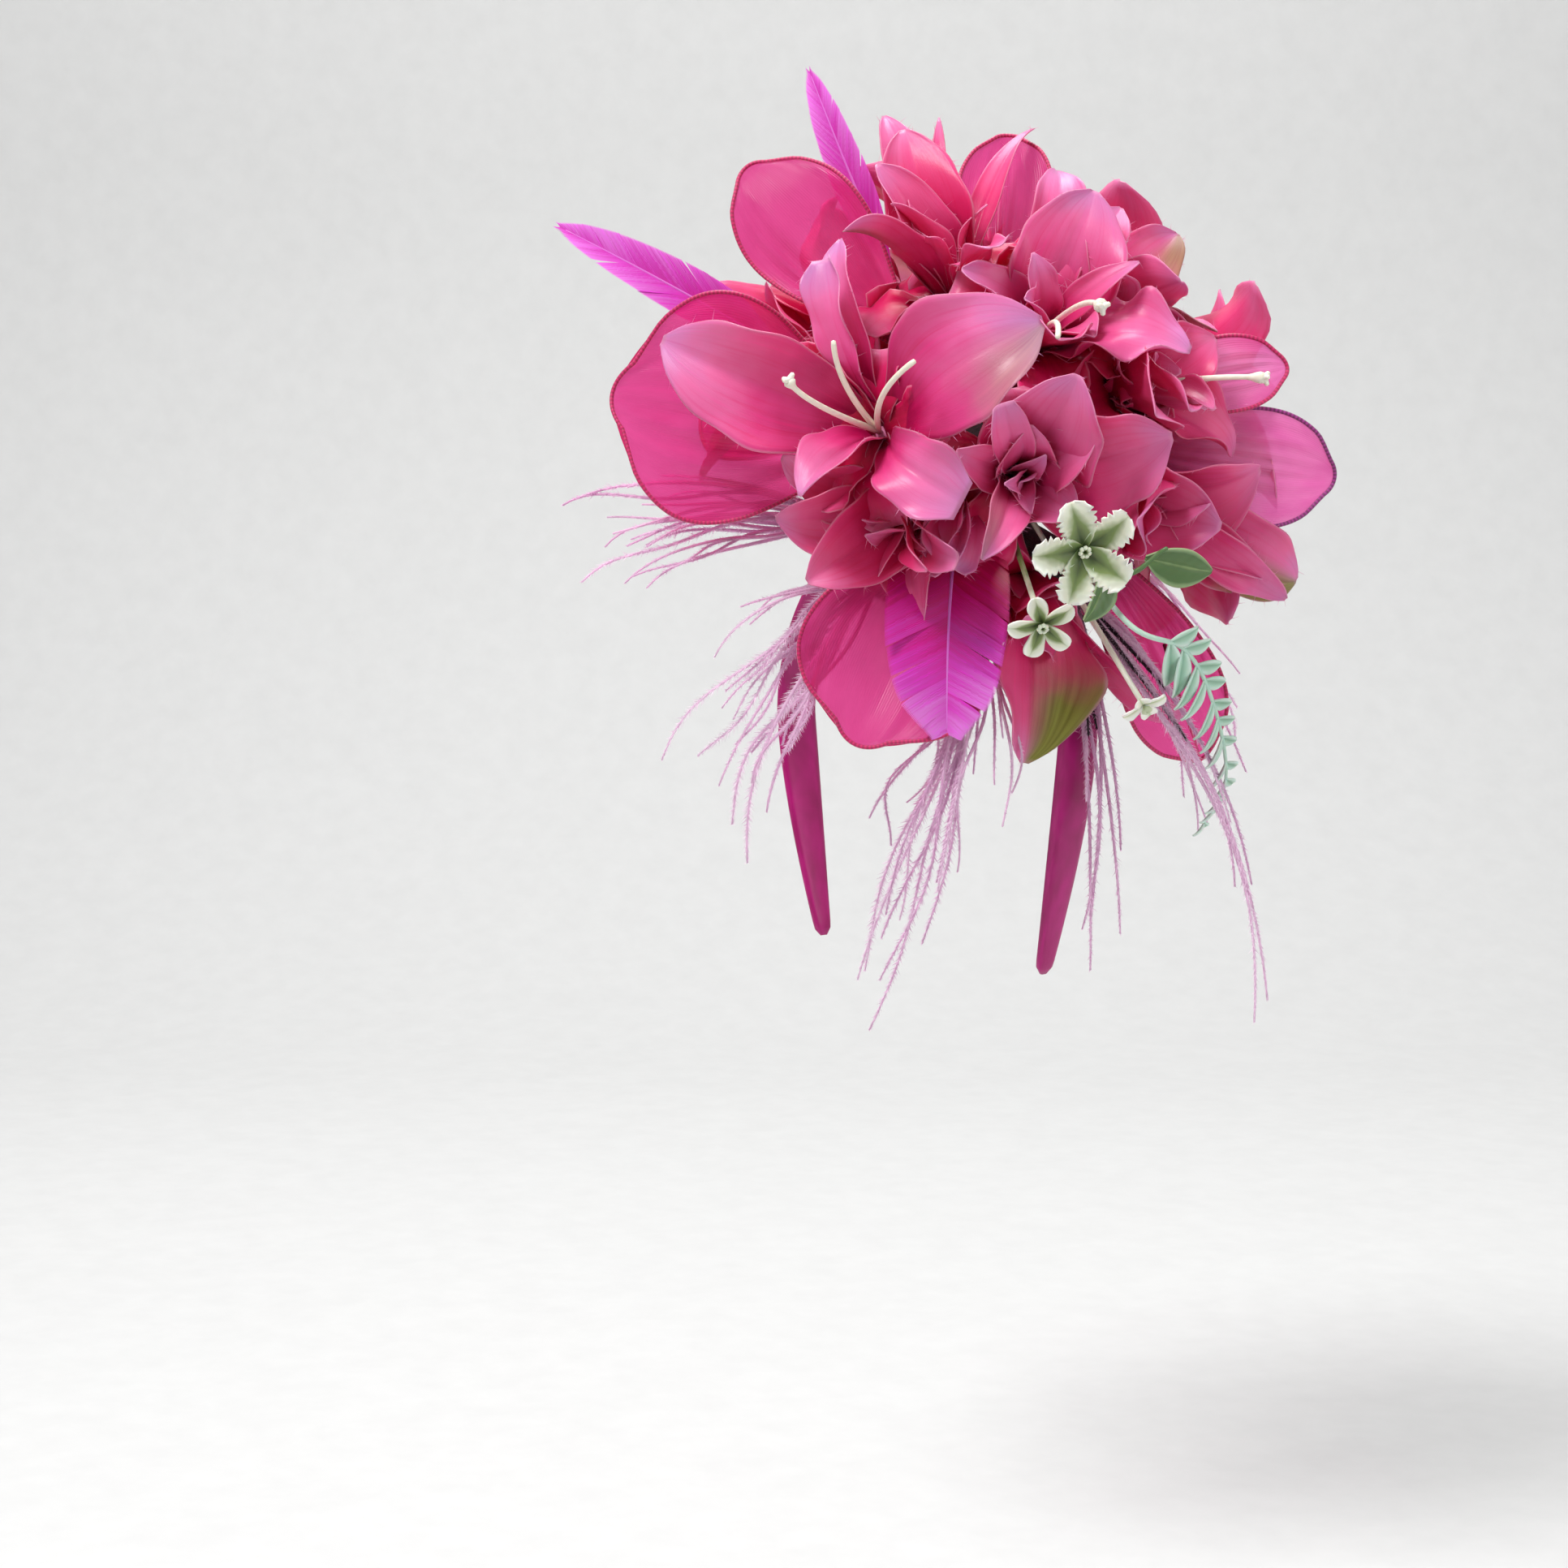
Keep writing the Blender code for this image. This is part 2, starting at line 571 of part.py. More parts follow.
def headband(parts):
    """An open ribbon along the headband's inner line, thickened outwards by Solidify."""
    work = bmesh.new()
    bmesh.ops.create_grid(work, x_segments=BAND_SQUARES, y_segments=1, size=1.0)
    for vert in work.verts:
        share, across = (vert.co.x + 1) / 2, vert.co.y
        taper = max((abs(share - 0.5) * 2 - BAND_TAPER_START) / (1 - BAND_TAPER_START), 0) ** 1.6
        width = BAND_WIDTH + (BAND_TIP_WIDTH - BAND_WIDTH) * taper
        vert.co = band_path(share) + Vector((0, across * width / 2, 0))
    work.normal_update()
    if max(work.faces, key=lambda face: face.calc_center_median().z).normal.z < 0:
        bmesh.ops.reverse_faces(work, faces=work.faces)
    mesh = bpy.data.meshes.new("headband")
    work.to_mesh(mesh)
    work.free()
    made = bpy.data.objects.new("headband", mesh)
    made.data.materials.append(finish("satin_band", BAND_PINK, 0.35))
    parts.objects.link(made)
    wall = made.modifiers.new("wall", "SOLIDIFY")
    wall.thickness = BAND_THICKNESS
    wall.offset = 1.0
    return made


def arc_points(radius, first, last, count):
    return [(radius * math.sin(angle), radius * math.cos(angle)) for angle in np.linspace(first, last, count)]


def base_pad(parts):
    """A felt disc that fits the head and the padded mound on it, turned in one profile."""
    rim = PAD_RIM_ANGLE
    reach = (HEART - HEAD_CENTRE).length
    foot = math.acos((PAD_OUTER_RADIUS ** 2 - reach ** 2 - MOUND_RADIUS ** 2) / (2 * reach * MOUND_RADIUS))
    mound = [(rho, reach + height) for rho, height in arc_points(MOUND_RADIUS, 0, foot, 8)]
    start = math.atan2(*mound[-1])
    top = arc_points(PAD_OUTER_RADIUS, start, rim, 4)[1:]
    underside = arc_points(PAD_INNER_RADIUS, rim, 0, 5)
    profile = mound + top + underside
    mesh = bpy.data.meshes.new("base_pad")
    spans = [(at, at + 1) for at in range(len(profile) - 1)]
    mesh.from_pydata([(rho, 0, height) for rho, height in profile], spans, [])
    made = bpy.data.objects.new("base_pad", mesh)
    made.data.materials.append(finish("dark_felt", DARK_FELT, 0.95))
    made.location = HEAD_CENTRE
    made.rotation_mode = "QUATERNION"
    made.rotation_quaternion = PAD_AXIS.to_track_quat("Z", "Y")
    parts.objects.link(made)
    turn = made.modifiers.new("turn", "SCREW")
    turn.steps = turn.render_steps = PAD_STEPS
    turn.use_merge_vertices = True
    turn.merge_threshold = 1e-6
    return made


def shown_solid(made):
    """An object's solid in world space, as its modifiers leave it."""
    bpy.context.view_layer.update()
    shape = made.evaluated_get(bpy.context.evaluated_depsgraph_get())
    solid = welded_solid(shape.to_mesh(), made.matrix_world)
    shape.to_mesh_clear()
    return solid


def lay_lily_cores(bouquet):
    """Each lily's stalk and trumpet, from the mound to its throat, with the receptacle on it."""
    for name, bearing, rise, reach in LILIES:
        axis, throat = bearing_vector(bearing, rise), spot(bearing, rise, reach)
        start = on_mound(bearing, rise)
        places = [start, start.lerp(throat, 0.45), throat, throat + axis * RECEPTACLE]
        bouquet.lay("lily_" + name, rod(places, (STALK_RADIUS, STALK_RADIUS, THROAT_RADIUS, STYLE_RADIUS)))


def petal_plan(lily, tip, width, outline, bend, cup, twist):
    """A lily petal that starts inside the throat on the side where its tip lies."""
    axis, throat = bearing_vector(*lily[1:3]), spot(*lily[1:4])
    aside = (tip - throat) - axis * (tip - throat).dot(axis)
    aside = aside.normalized() if aside.length > 1e-6 else axis.orthogonal().normalized()
    base = throat - axis * (THROAT_RADIUS * ROOT_DEPTH) + aside * (THROAT_RADIUS * ROOT_ASIDE)
    return {
        "base": base, "tip": tip, "facing": axis - aside * 0.2, "width": PETAL_WIDTH * width,
        "outline": outline, "bend": bend, "cup": cup, "twist": twist,
    }


def lay_shown_petals(bouquet, rows):
    lilies = {lily[0]: lily for lily in LILIES}
    for name, bearing, rise, reach, *form in rows:
        lily = lilies[name]
        plan = petal_plan(lily, spot(bearing, rise, reach), *form)
        lay_sheet(bouquet, "lily_" + name, plan, bearing_vector(*lily[1:3]), PETAL_GRID, PETAL_CLEAR_FROM)


def lay_plain_petals(bouquet):
    shown = {row[0] for row in SHOWN_PETALS}
    plain = [lily for lily in LILIES if lily[0] not in shown]
    for place, lily in enumerate(plain):
        axis, throat = bearing_vector(*lily[1:3]), spot(*lily[1:4])
        upright = axis.orthogonal().normalized()
        for turn in range(PLAIN_PETALS):
            around = Matrix.Rotation(2 * math.pi * (turn + PLAIN_STAGGER * place) / PLAIN_PETALS, 3, axis) @ upright
            opened = math.radians(PLAIN_OPEN + (PLAIN_SPREAD if turn % 2 else 0))
            ahead = axis * math.cos(opened) + around * math.sin(opened)
            tip = throat + ahead * (PLAIN_LENGTH * BOUQUET_RADIUS)
            plan = petal_plan(lily, tip, PLAIN_WIDTH, "lily", PLAIN_BEND, PLAIN_CUP, 0)
            lay_sheet(bouquet, "lily_" + lily[0], plan, axis, PLAIN_GRID, PETAL_CLEAR_FROM)


def lay_wide_sheets(bouquet, rows, prefix, full_width, steps):
    for name, root_bearing, root_rise, bearing, rise, reach, width, face_bearing, face_rise, bend, outline in rows:
        plan = {
            "base": on_mound(root_bearing, root_rise), "tip": spot(bearing, rise, reach),
            "facing": bearing_vector(face_bearing, face_rise), "width": full_width * width,
            "outline": outline, "bend": bend, "cup": SHEER_CUP, "twist": 0,
        }
        lay_sheet(bouquet, prefix + name, plan, bearing_vector(root_bearing, root_rise), steps)


def lay_pistils(bouquet):
    """Cream pistils that share a foot on the receptacle of their lily."""
    lilies = {lily[0]: lily for lily in LILIES}
    for name, bearing, rise, reach, bow, bulb in PISTILS:
        axis, throat = bearing_vector(*lilies[name][1:3]), spot(*lilies[name][1:4])
        foot = throat + axis * (RECEPTACLE + GAP + STYLE_RADIUS * 0.5)
        radii = [STYLE_RADIUS] * (WIRE_POINTS - 1) + [STYLE_RADIUS * bulb]

        def make(move, margin, foot=foot, ends=(bearing, rise, reach), bow=bow, axis=axis, radii=radii):
            start, tip = moved([foot, spot(*ends)], axis, move)
            return [rod(bowed(start, tip, bow, axis), radii, margin)]

        bouquet.settle("pistil_" + name, make)


def on_pad(bearing, share, lift):
    """A place over the pad's top: towards a bearing, at a share of the way to its rim."""
    level = bearing_vector(bearing, 0)
    along = (level - PAD_AXIS * level.dot(PAD_AXIS)).normalized()
    angle = PAD_RIM_ANGLE * share
    return HEAD_CENTRE + (PAD_AXIS * math.cos(angle) + along * math.sin(angle)) * (PAD_OUTER_RADIUS + lift)


def lay_plume_heads(bouquet):
    """Each plume's bound head, let down near the pad's rim until it is only a gap away."""
    for name, place in PLUME_ROOTS.items():
        for drop in HEAD_DROPS:
            centre = on_pad(*place, GAP + PLUME_HEAD_RADIUS - drop)
            if bouquet.is_clear("plume_" + name, [ball(centre, PLUME_HEAD_RADIUS, GAP)], None):
                break
        bouquet.lay("plume_" + name, ball(centre, PLUME_HEAD_RADIUS))
        bouquet.heads[name] = centre


def lay_locks(bouquet):
    """The locks of each plume, which arch from its head over the pad's rim."""
    for name, head in bouquet.heads.items():
        outward = (head - HEAD_CENTRE).normalized()
        for _, *ends, bow in [row for row in LOCKS if row[0] == name]:
            def make(move, margin, ends=ends, bow=bow):
                start, tip = moved([head, spot(*ends)], outward, move)
                radii = np.linspace(LOCK_RADIUS, LOCK_RADIUS * LOCK_TIP, WIRE_POINTS)
                return [rod(bowed(start, tip, bow, outward), radii, margin)]

            bouquet.settle("plume_" + name, make)


def along_line(places, share):
    """The place and direction at a share of the way along a broken line."""
    lengths = [(b - a).length for a, b in zip(places, places[1:])]
    left = share * sum(lengths)
    for first, second, length in zip(places, places[1:], lengths):
        if left <= length or second is places[-1]:
            return first.lerp(second, min(left / length, 1)), (second - first).normalized()
        left -= length


def leaf_plan(base, ahead, facing, length, width):
    return {
        "base": base, "tip": base + ahead * length, "facing": facing, "width": width,
        "outline": "leaf", "bend": LEAF_BEND, "cup": LEAF_CUP, "twist": 0,
    }


def lay_sprigs(bouquet):
    """Each sprig is one stem with leaves on both sides, moved as a whole."""
    for name, spots in SPRIG_STEMS.items():
        axis = bearing_vector(*spots[0][:2])

        def make(move, margin):
            places = moved([spot(*row) for row in spots], axis, move)
            radii = np.linspace(STEM_RADIUS * 1.3, STEM_RADIUS * 0.7, len(places))
            solids = [rod(places, radii, margin)]
            for _, share, side, length, width in [row for row in LEAVES if row[0] == name]:
                base, ahead = along_line(places, share)
                facing = (base - HEART).normalized()
                lateral = ahead.cross(facing).normalized() * side
                lean = (ahead * LEAF_SPREAD + lateral).normalized()
                plan = leaf_plan(base, lean, facing, LEAF_LENGTH * length, LEAF_WIDTH * width)
                solids.append(sheet(plan, LEAF_GRID if name == "leaf_pair" else SMALL_LEAF_GRID, margin))
            return solids

        bouquet.settle(name, make)


def lay_small_flowers(bouquet):
    """A small head on a stem, ringed by lobes that face outwards."""
    for name, root_bearing, root_rise, bearing, rise, reach, lobes, length, width in SMALL_FLOWERS:
        root, head = on_mound(root_bearing, root_rise), spot(bearing, rise, reach)
        axis = bearing_vector(root_bearing, root_rise)

        def make(move, margin, places=(root, head), axis=axis, ring=(lobes, length, width)):
            start, centre = moved(list(places), axis, move)
            facing = (centre - HEART).normalized()
            upright = facing.orthogonal().normalized()
            solids = [rod([start, start.lerp(centre, 0.5), centre], [STEM_RADIUS] * 3, margin)]
            solids.append(ball(centre, STEM_RADIUS * 2.4, margin))
            for turn in range(ring[0]):
                around = Matrix.Rotation(2 * math.pi * turn / ring[0], 3, facing) @ upright
                ahead = (around + facing * (0.1 + 0.08 * turn)).normalized()
                plan = leaf_plan(centre, ahead, facing, LEAF_LENGTH * ring[1], LEAF_WIDTH * ring[2])
                solids.append(sheet(plan, SMALL_LEAF_GRID, margin))
            return solids

        bouquet.settle(name, make)


def build():
    clear_scene()
    parts = new_collection("fascinator_hat")
    band, pad = headband(parts), base_pad(parts)
    bouquet = Bouquet()
    bouquet.lay("headband", shown_solid(band))
    bouquet.lay("base_pad", shown_solid(pad))
    lay_lily_cores(bouquet)
    lay_plume_heads(bouquet)
    lay_shown_petals(bouquet, [row for row in SHOWN_PETALS if row[0] == "front"])
    lay_wide_sheets(bouquet, FEATHERS, "goose_feather_", FEATHER_WIDTH, FEATHER_GRID)
    lay_wide_sheets(bouquet, SHEER_PETALS, "organza_", SHEER_WIDTH, SHEER_GRID)
    lay_pistils(bouquet)
    lay_small_flowers(bouquet)
    lay_sprigs(bouquet)
    lay_shown_petals(bouquet, [row for row in SHOWN_PETALS if row[0] != "front"])
    lay_plain_petals(bouquet)
    lay_locks(bouquet)
    colours = {
        "lily": PINK, "organza": SHEER_PINK, "goose": MAGENTA, "pistil": CREAM, "plume": PLUME_PINK,
        "leaf": LEAF_GREEN, "trailing": MINT, "variegated": MINT, "lobed": LEAF_GREEN, "white": CREAM,
    }
    for name, solids in bouquet.solids.items():
        if name not in ("headband", "base_pad"):
            fuse(name, solids, finish(name + "_finish", colours[name.split("_")[0]]), parts)


build()
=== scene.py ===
# %% [markdown]
# # A fascinator: a bouquet of satin lilies on a headband
#
# A milliner makes such a piece from a headband wrapped in satin ribbon, a felt pad that is sewn onto it,
# and bought stems: lilies of printed satin, petals of wired organza, goose and ostrich feathers and
# sprigs of soft plastic. Each stem is pushed into the pad where there is still room.
#
# The script works in the same order. It first lays every stem as a coarse shape that has to stay clear
# of the others, and so finds each one's place. Then it cuts the real petal, feather or leaf for that
# place, dyes it, and lights the whole like a piece in a shop's catalogue.
#
# Sizes are in metres. The wearer's left is +X, the front is -Y, and the headband stands in the plane Y = 0.

import math

import bmesh
import bpy
import numpy as np
from mathutils import Matrix, Vector
from mathutils.bvhtree import BVHTree


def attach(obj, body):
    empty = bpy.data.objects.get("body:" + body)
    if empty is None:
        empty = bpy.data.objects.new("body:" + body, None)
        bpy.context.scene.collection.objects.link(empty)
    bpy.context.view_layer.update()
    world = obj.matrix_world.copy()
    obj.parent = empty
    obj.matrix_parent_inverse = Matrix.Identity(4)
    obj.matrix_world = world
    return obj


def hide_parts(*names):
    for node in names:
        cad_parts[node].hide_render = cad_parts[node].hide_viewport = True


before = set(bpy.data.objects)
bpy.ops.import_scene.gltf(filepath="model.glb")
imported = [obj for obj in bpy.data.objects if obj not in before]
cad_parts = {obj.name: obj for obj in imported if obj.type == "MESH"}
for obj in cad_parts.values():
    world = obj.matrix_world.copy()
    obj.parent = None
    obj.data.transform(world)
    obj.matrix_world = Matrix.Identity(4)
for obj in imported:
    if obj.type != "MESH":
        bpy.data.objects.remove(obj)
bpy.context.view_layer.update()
chance = np.random.default_rng(11)

# %% [markdown]
# ## The pattern
#
# These are the sizes and the plans of the solid model, so that every piece of cloth finds the same place.
# All stems radiate from one spot in the pad, the heart. A place is given by its bearing (degrees from
# the front towards the wearer's left), its rise (degrees above level) and its reach (a share of the
# bouquet's radius).

# %% The pattern's sizes and plans
BAND_INNER_RADIUS = 0.068
BAND_THICKNESS = 0.003
BAND_WIDTH = 0.017
BAND_TIP_WIDTH = 0.006
BAND_DEPTH = 0.146
BAND_TIP_INSET = 0.015
BAND_TAPER_START = 0.62
PAD_DIAMETER = 0.104
PAD_THICKNESS = 0.0025
PAD_BEARING = 77
PAD_RISE = 68
MOUND_RADIUS = 0.027
BOUQUET_RADIUS = 0.110
PETAL_WIDTH = 0.034
CLOTH_THICKNESS = 0.001
STALK_RADIUS = 0.0030
THROAT_RADIUS = 0.0052
ROOT_DEPTH = 0.3
ROOT_ASIDE = 0.5
RECEPTACLE = 0.003
PETAL_CLEAR_FROM = 0.5
SHEER_WIDTH = 0.072
FEATHER_WIDTH = 0.037
LOCK_RADIUS = 0.0015
PLUME_HEAD_RADIUS = 0.0045
HEAD_DROPS = (0.0012, 0.0009, 0.0006, 0.0003, 0)
STYLE_RADIUS = 0.0010
STEM_RADIUS = 0.0009
LEAF_LENGTH = 0.020
LEAF_WIDTH = 0.013
GAP = 0.0003
PAD_SEAT_GAP = 0.0016

# How deep the folds are: a sheet's section, and how far a leaf bows
SHEER_CUP = 0.35
PLAIN_CUP = 0.7
PLAIN_BEND = 0.12
LEAF_CUP = 0.5
LEAF_BEND = 0.06
LEAF_SPREAD = 0.7
LOCK_TIP = 0.45

# How finely the coarse forms are drawn: squares along and across a sheet, and points along a wire
PETAL_GRID = (4, 2)
PLAIN_GRID = (2, 2)
FEATHER_GRID = (5, 2)
SHEER_GRID = (5, 3)
LEAF_GRID = (2, 2)
SMALL_LEAF_GRID = (2, 1)
WIRE_POINTS = 4

# How wide a sheet is along its length, as a share of its greatest width
OUTLINES = {
    "lily": ((0, 0.13), (0.15, 0.46), (0.35, 0.88), (0.55, 1.0), (0.75, 0.84), (0.9, 0.5), (1, 0.08)),
    "strap": ((0, 0.2), (0.3, 0.6), (0.6, 0.95), (0.85, 1.0), (1, 0.55)),
    "round": ((0, 0.07), (0.2, 0.2), (0.4, 0.6), (0.6, 0.94), (0.78, 1.0), (0.92, 0.74), (1, 0.3)),
    "feather": ((0, 0.08), (0.3, 0.14), (0.42, 0.62), (0.6, 1.0), (0.8, 0.86), (0.93, 0.5), (1, 0.1)),
    "plumage": ((0, 0.08), (0.15, 0.5), (0.35, 0.9), (0.6, 1.0), (0.85, 0.8), (1, 0.25)),
    "leaf": ((0, 0.12), (0.25, 0.8), (0.5, 1.0), (0.75, 0.72), (1, 0.12)),
    "round_leaf": ((0, 0.2), (0.25, 0.6), (0.5, 0.9), (0.75, 1.0), (0.93, 0.72), (1, 0.3)),
}

# The lilies: where each throat lies from the heart
LILIES = (
    # name, bearing, rise, reach
    ("front", 14, 3, 0.54),
    ("top", 11, 65, 0.42),
    ("crown", 68, 39, 0.42),
    ("centre", 55, -10, 0.44),
    ("right", 102, 19, 0.42),
    ("side", 104, -20, 0.40),
    ("under", 16, -23, 0.38),
    ("low", 72, -59, 0.42),
    ("ridge", 132, 49, 0.40),
    ("rear", 155, 14, 0.40),
    ("peak", -112, 72, 0.38),
    ("rear_top", -176, 38, 0.40),
    ("rear_low", 150, -20, 0.38),
    ("far", -92, 30, 0.38),
    ("far_front", -38, 26, 0.40),
    ("far_rear", -134, 18, 0.38),
)

# The petals of the lilies in full view: tip from the heart, width as a share of PETAL_WIDTH
SHOWN_PETALS = (
    # lily, bearing, rise, reach, width, outline, bend, cup, twist
    ("front", -16, 15, 1.09, 1.10, "lily", 0.10, 0.5, 0),
    ("front", 59, 26, 0.76, 1.25, "lily", 0.22, 0.6, 10),
    ("front", 41, -12, 0.76, 0.70, "strap", 0.28, 0.5, -20),
    ("front", 10, -9, 0.89, 0.62, "lily", 0.16, 0.7, 15),
    ("front", 4, 36, 0.86, 0.42, "strap", 0.14, 0.9, 0),
    ("front", -7, 47, 0.79, 0.55, "lily", 0.16, 0.7, 0),
    ("top", -43, 72, 1.02, 0.50, "lily", 0.10, 0.8, 0),
    ("top", -14, 72, 0.95, 0.85, "lily", 0.10, 0.7, 0),
    ("top", 25, 68, 0.90, 0.60, "lily", 0.06, 0.8, 0),
    ("top", 7, 43, 0.89, 0.50, "lily", 0.12, 0.8, 30),
    ("top", 49, 46, 0.76, 0.45, "strap", 0.10, 0.6, 0),
    ("top", -158, 74, 0.99, 0.30, "lily", 0.08, 0.6, 0),
    ("crown", 90, 59, 0.82, 1.10, "lily", 0.10, 0.7, 0),
    ("crown", 127, 76, 0.84, 0.60, "lily", 0.14, 0.7, 0),
    ("crown", 117, 59, 0.76, 0.65, "lily", 0.14, 0.7, 0),
    ("crown", 96, 20, 0.78, 0.95, "lily", 0.14, 0.7, 0),
    ("crown", 64, 28, 0.90, 0.75, "lily", 0.08, 0.8, 0),
    ("crown", 48, 42, 0.74, 0.65, "lily", 0.12, 0.7, 0),
    ("centre", 78, -2, 0.84, 1.15, "lily", 0.16, 0.7, 15),
    ("centre", 63, 12, 0.84, 1.15, "lily", 0.14, 0.7, -10),
    ("centre", 49, 7, 0.81, 0.40, "strap", 0.16, 0.8, 0),
    ("centre", 46, -22, 0.82, 0.45, "lily", 0.14, 0.8, 0),
    ("centre", 63, -14, 0.74, 0.70, "lily", 0.08, 0.8, 0),
    ("centre", 40, -2, 0.74, 0.50, "lily", 0.14, 0.7, 0),
    ("right", 112, 22, 0.75, 0.80, "lily", 0.12, 0.7, 0),
    ("right", 93, 8, 0.79, 0.75, "lily", 0.08, 0.8, 0),
    ("right", 122, -2, 0.74, 0.80, "lily", 0.14, 0.7, 0),
    ("right", 77, 8, 0.86, 0.85, "lily", 0.10, 0.7, 0),
    ("right", 107, 3, 0.76, 0.70, "lily", 0.10, 0.7, 0),
    ("right", 84, 24, 0.78, 0.70, "lily", 0.10, 0.7, 0),
    ("side", 119, -6, 0.82, 1.10, "lily", 0.14, 0.7, 0),
    ("side", 108, -24, 0.81, 1.00, "lily", 0.10, 0.7, 10),
    ("side", 146, -24, 0.99, 0.85, "lily", 0.14, 0.6, 0),
    ("side", 140, -30, 0.94, 0.50, "lily", 0.18, 0.9, 30),
    ("side", 84, -23, 0.83, 0.80, "lily", 0.10, 0.7, 0),
    ("side", 77, -8, 0.79, 0.80, "lily", 0.12, 0.7, 0),
    ("under", 5, -27, 0.85, 0.85, "lily", 0.12, 0.7, 0),
    ("under", -9, -17, 0.77, 0.80, "lily", 0.14, 0.7, 0),
    ("under", 39, -23, 0.81, 0.42, "strap", 0.12, 0.9, 0),
    ("under", 31, -26, 0.80, 0.38, "lily", 0.10, 0.8, 0),
    ("under", -3, -7, 0.76, 0.70, "lily", 0.12, 0.7, 0),
    ("under", 9, -48, 0.72, 0.65, "lily", 0.14, 0.7, 0),
    ("low", 65, -69, 0.98, 1.25, "lily", 0.14, 0.6, 0),
    ("low", 119, -68, 1.02, 0.32, "strap", 0.08, 0.6, 0),
    ("low", 99, -41, 0.85, 1.00, "lily", 0.14, 0.7, 0),
    ("low", 46, -34, 0.76, 0.60, "lily", 0.12, 0.7, 0),
    ("low", 72, -31, 0.74, 0.75, "lily", 0.10, 0.7, 0),
    ("low", 92, -60, 0.84, 0.70, "lily", 0.12, 0.7, 0),
    ("ridge", 143, 48, 0.83, 0.75, "lily", 0.12, 0.7, 0),
    ("ridge", 114, 40, 0.77, 0.80, "lily", 0.12, 0.7, 0),
    ("ridge", 132, 34, 0.76, 0.55, "lily", 0.12, 0.7, 0),
    ("ridge", 108, 51, 0.75, 0.75, "lily", 0.10, 0.7, 0),
    ("ridge", 127, 23, 0.76, 0.85, "lily", 0.14, 0.7, 0),
    ("ridge", 150, 66, 0.80, 0.70, "lily", 0.12, 0.7, 0),
)

# The lilies out of sight have plain petals, set round the axis and opened by these angles
PLAIN_PETALS = 4
PLAIN_LENGTH = 0.58
PLAIN_WIDTH = 1.0
PLAIN_OPEN = 44
PLAIN_SPREAD = 12
PLAIN_STAGGER = 0.3

# Sheer round petals: tip and facing from the heart, width as a share of SHEER_WIDTH
SHEER_PETALS = (
    # name, root bearing and rise, tip bearing, rise and reach, width, face bearing and rise, bend, outline
    ("left", -8, -4, -31, 10, 1.07, 1.00, 50, 6, 0.06, "round"),
    ("top_left", -14, 46, -40, 48, 1.04, 0.55, 50, 6, 0.08, "round"),
    ("top", 62, 84, -143, 72, 0.94, 0.42, 50, 30, 0.04, "round"),
    ("right", 128, 0, 134, -6, 0.98, 0.52, 60, 0, 0.06, "round"),
    ("right_top", 126, 20, 136, 10, 0.86, 0.36, 60, 20, 0.06, "round"),
    ("low_left", 14, -52, -12, -61, 0.98, 0.84, 50, 6, 0.05, "round"),
    ("low_right", 130, -40, 153, -60, 1.10, 0.50, 70, 0, 0.05, "round"),
    ("rear", 176, 4, 178, 0, 1.00, 0.70, 120, 10, 0.08, "round"),
    ("far", -70, 8, -72, 10, 1.00, 0.70, -20, 20, 0.08, "round"),
)

# Goose feathers, laid out as the sheer petals are
FEATHERS = (
    # name, root bearing and rise, tip bearing, rise and reach, width, face bearing and rise, bend, outline
    ("left", -36, 8, -33, 26, 1.41, 0.46, 50, 20, 0.05, "feather"),
    ("top", -64, 50, -58, 63, 1.23, 0.36, 30, 6, 0.04, "feather"),
    ("low", 24, -36, 30, -53, 0.98, 1.05, 40, 0, 0.16, "plumage"),
)

# Cream pistils and stamens: tips from the heart, how far each bows outwards, and the bulb's size
PISTILS = (
    # lily, bearing, rise, reach, bow, bulb
    ("front", 11, 10, 0.95, 0.20, 2.2),
    ("front", 32, 15, 0.84, 0.18, 1.0),
    ("front", 16, 18, 0.88, 0.14, 1.0),
    ("crown", 69, 25, 0.86, 0.16, 2.6),
    ("crown", 60, 20, 0.82, 0.16, 1.0),
    ("right", 112, 12, 0.86, 0.10, 2.2),
)

# Ostrich plumes: where each is rooted on the pad, then its locks
PLUME_ROOTS = {
    # name: bearing and share of the way to the pad's rim
    "front": (-36, 0.80), "temple": (14, 0.84), "lower": (58, 0.84), "side": (98, 0.84), "rear": (176, 0.80),
}
LOCKS = (
    # plume, bearing, rise, reach, bow
    ("front", -33, -9, 1.26, 0.10),
    ("front", -27, -12, 1.17, 0.06),
    ("front", -28, -18, 1.28, 0.08),
    ("front", -22, -20, 1.16, 0.05),
    ("front", -42, -16, 1.10, 0.10),
    ("temple", -21, -43, 1.35, 0.12),
    ("temple", -17, -47, 1.30, 0.08),
    ("temple", -13, -54, 1.45, 0.10),
    ("temple", -8, -51, 1.31, 0.06),
    ("temple", -18, -36, 1.06, 0.14),
    ("lower", 8, -66, 1.25, 0.14),
    ("lower", 4, -71, 1.63, 0.12),
    ("lower", 10, -73, 1.75, 0.10),
    ("lower", 16, -70, 1.50, 0.08),
    ("lower", 34, -69, 1.30, 0.06),
    ("lower", 55, -67, 1.26, 0.08),
    ("side", 121, -67, 1.49, 0.12),
    ("side", 110, -69, 1.50, 0.08),
    ("side", 100, -72, 1.59, 0.08),
    ("side", 108, -72, 1.83, 0.12),
    ("side", 133, -61, 1.29, 0.10),
    ("rear", 172, -44, 1.25, 0.12),
    ("rear", 158, -50, 1.35, 0.10),
    ("rear", -174, -40, 1.15, 0.12),
    ("rear", 180, -52, 1.40, 0.10),
)

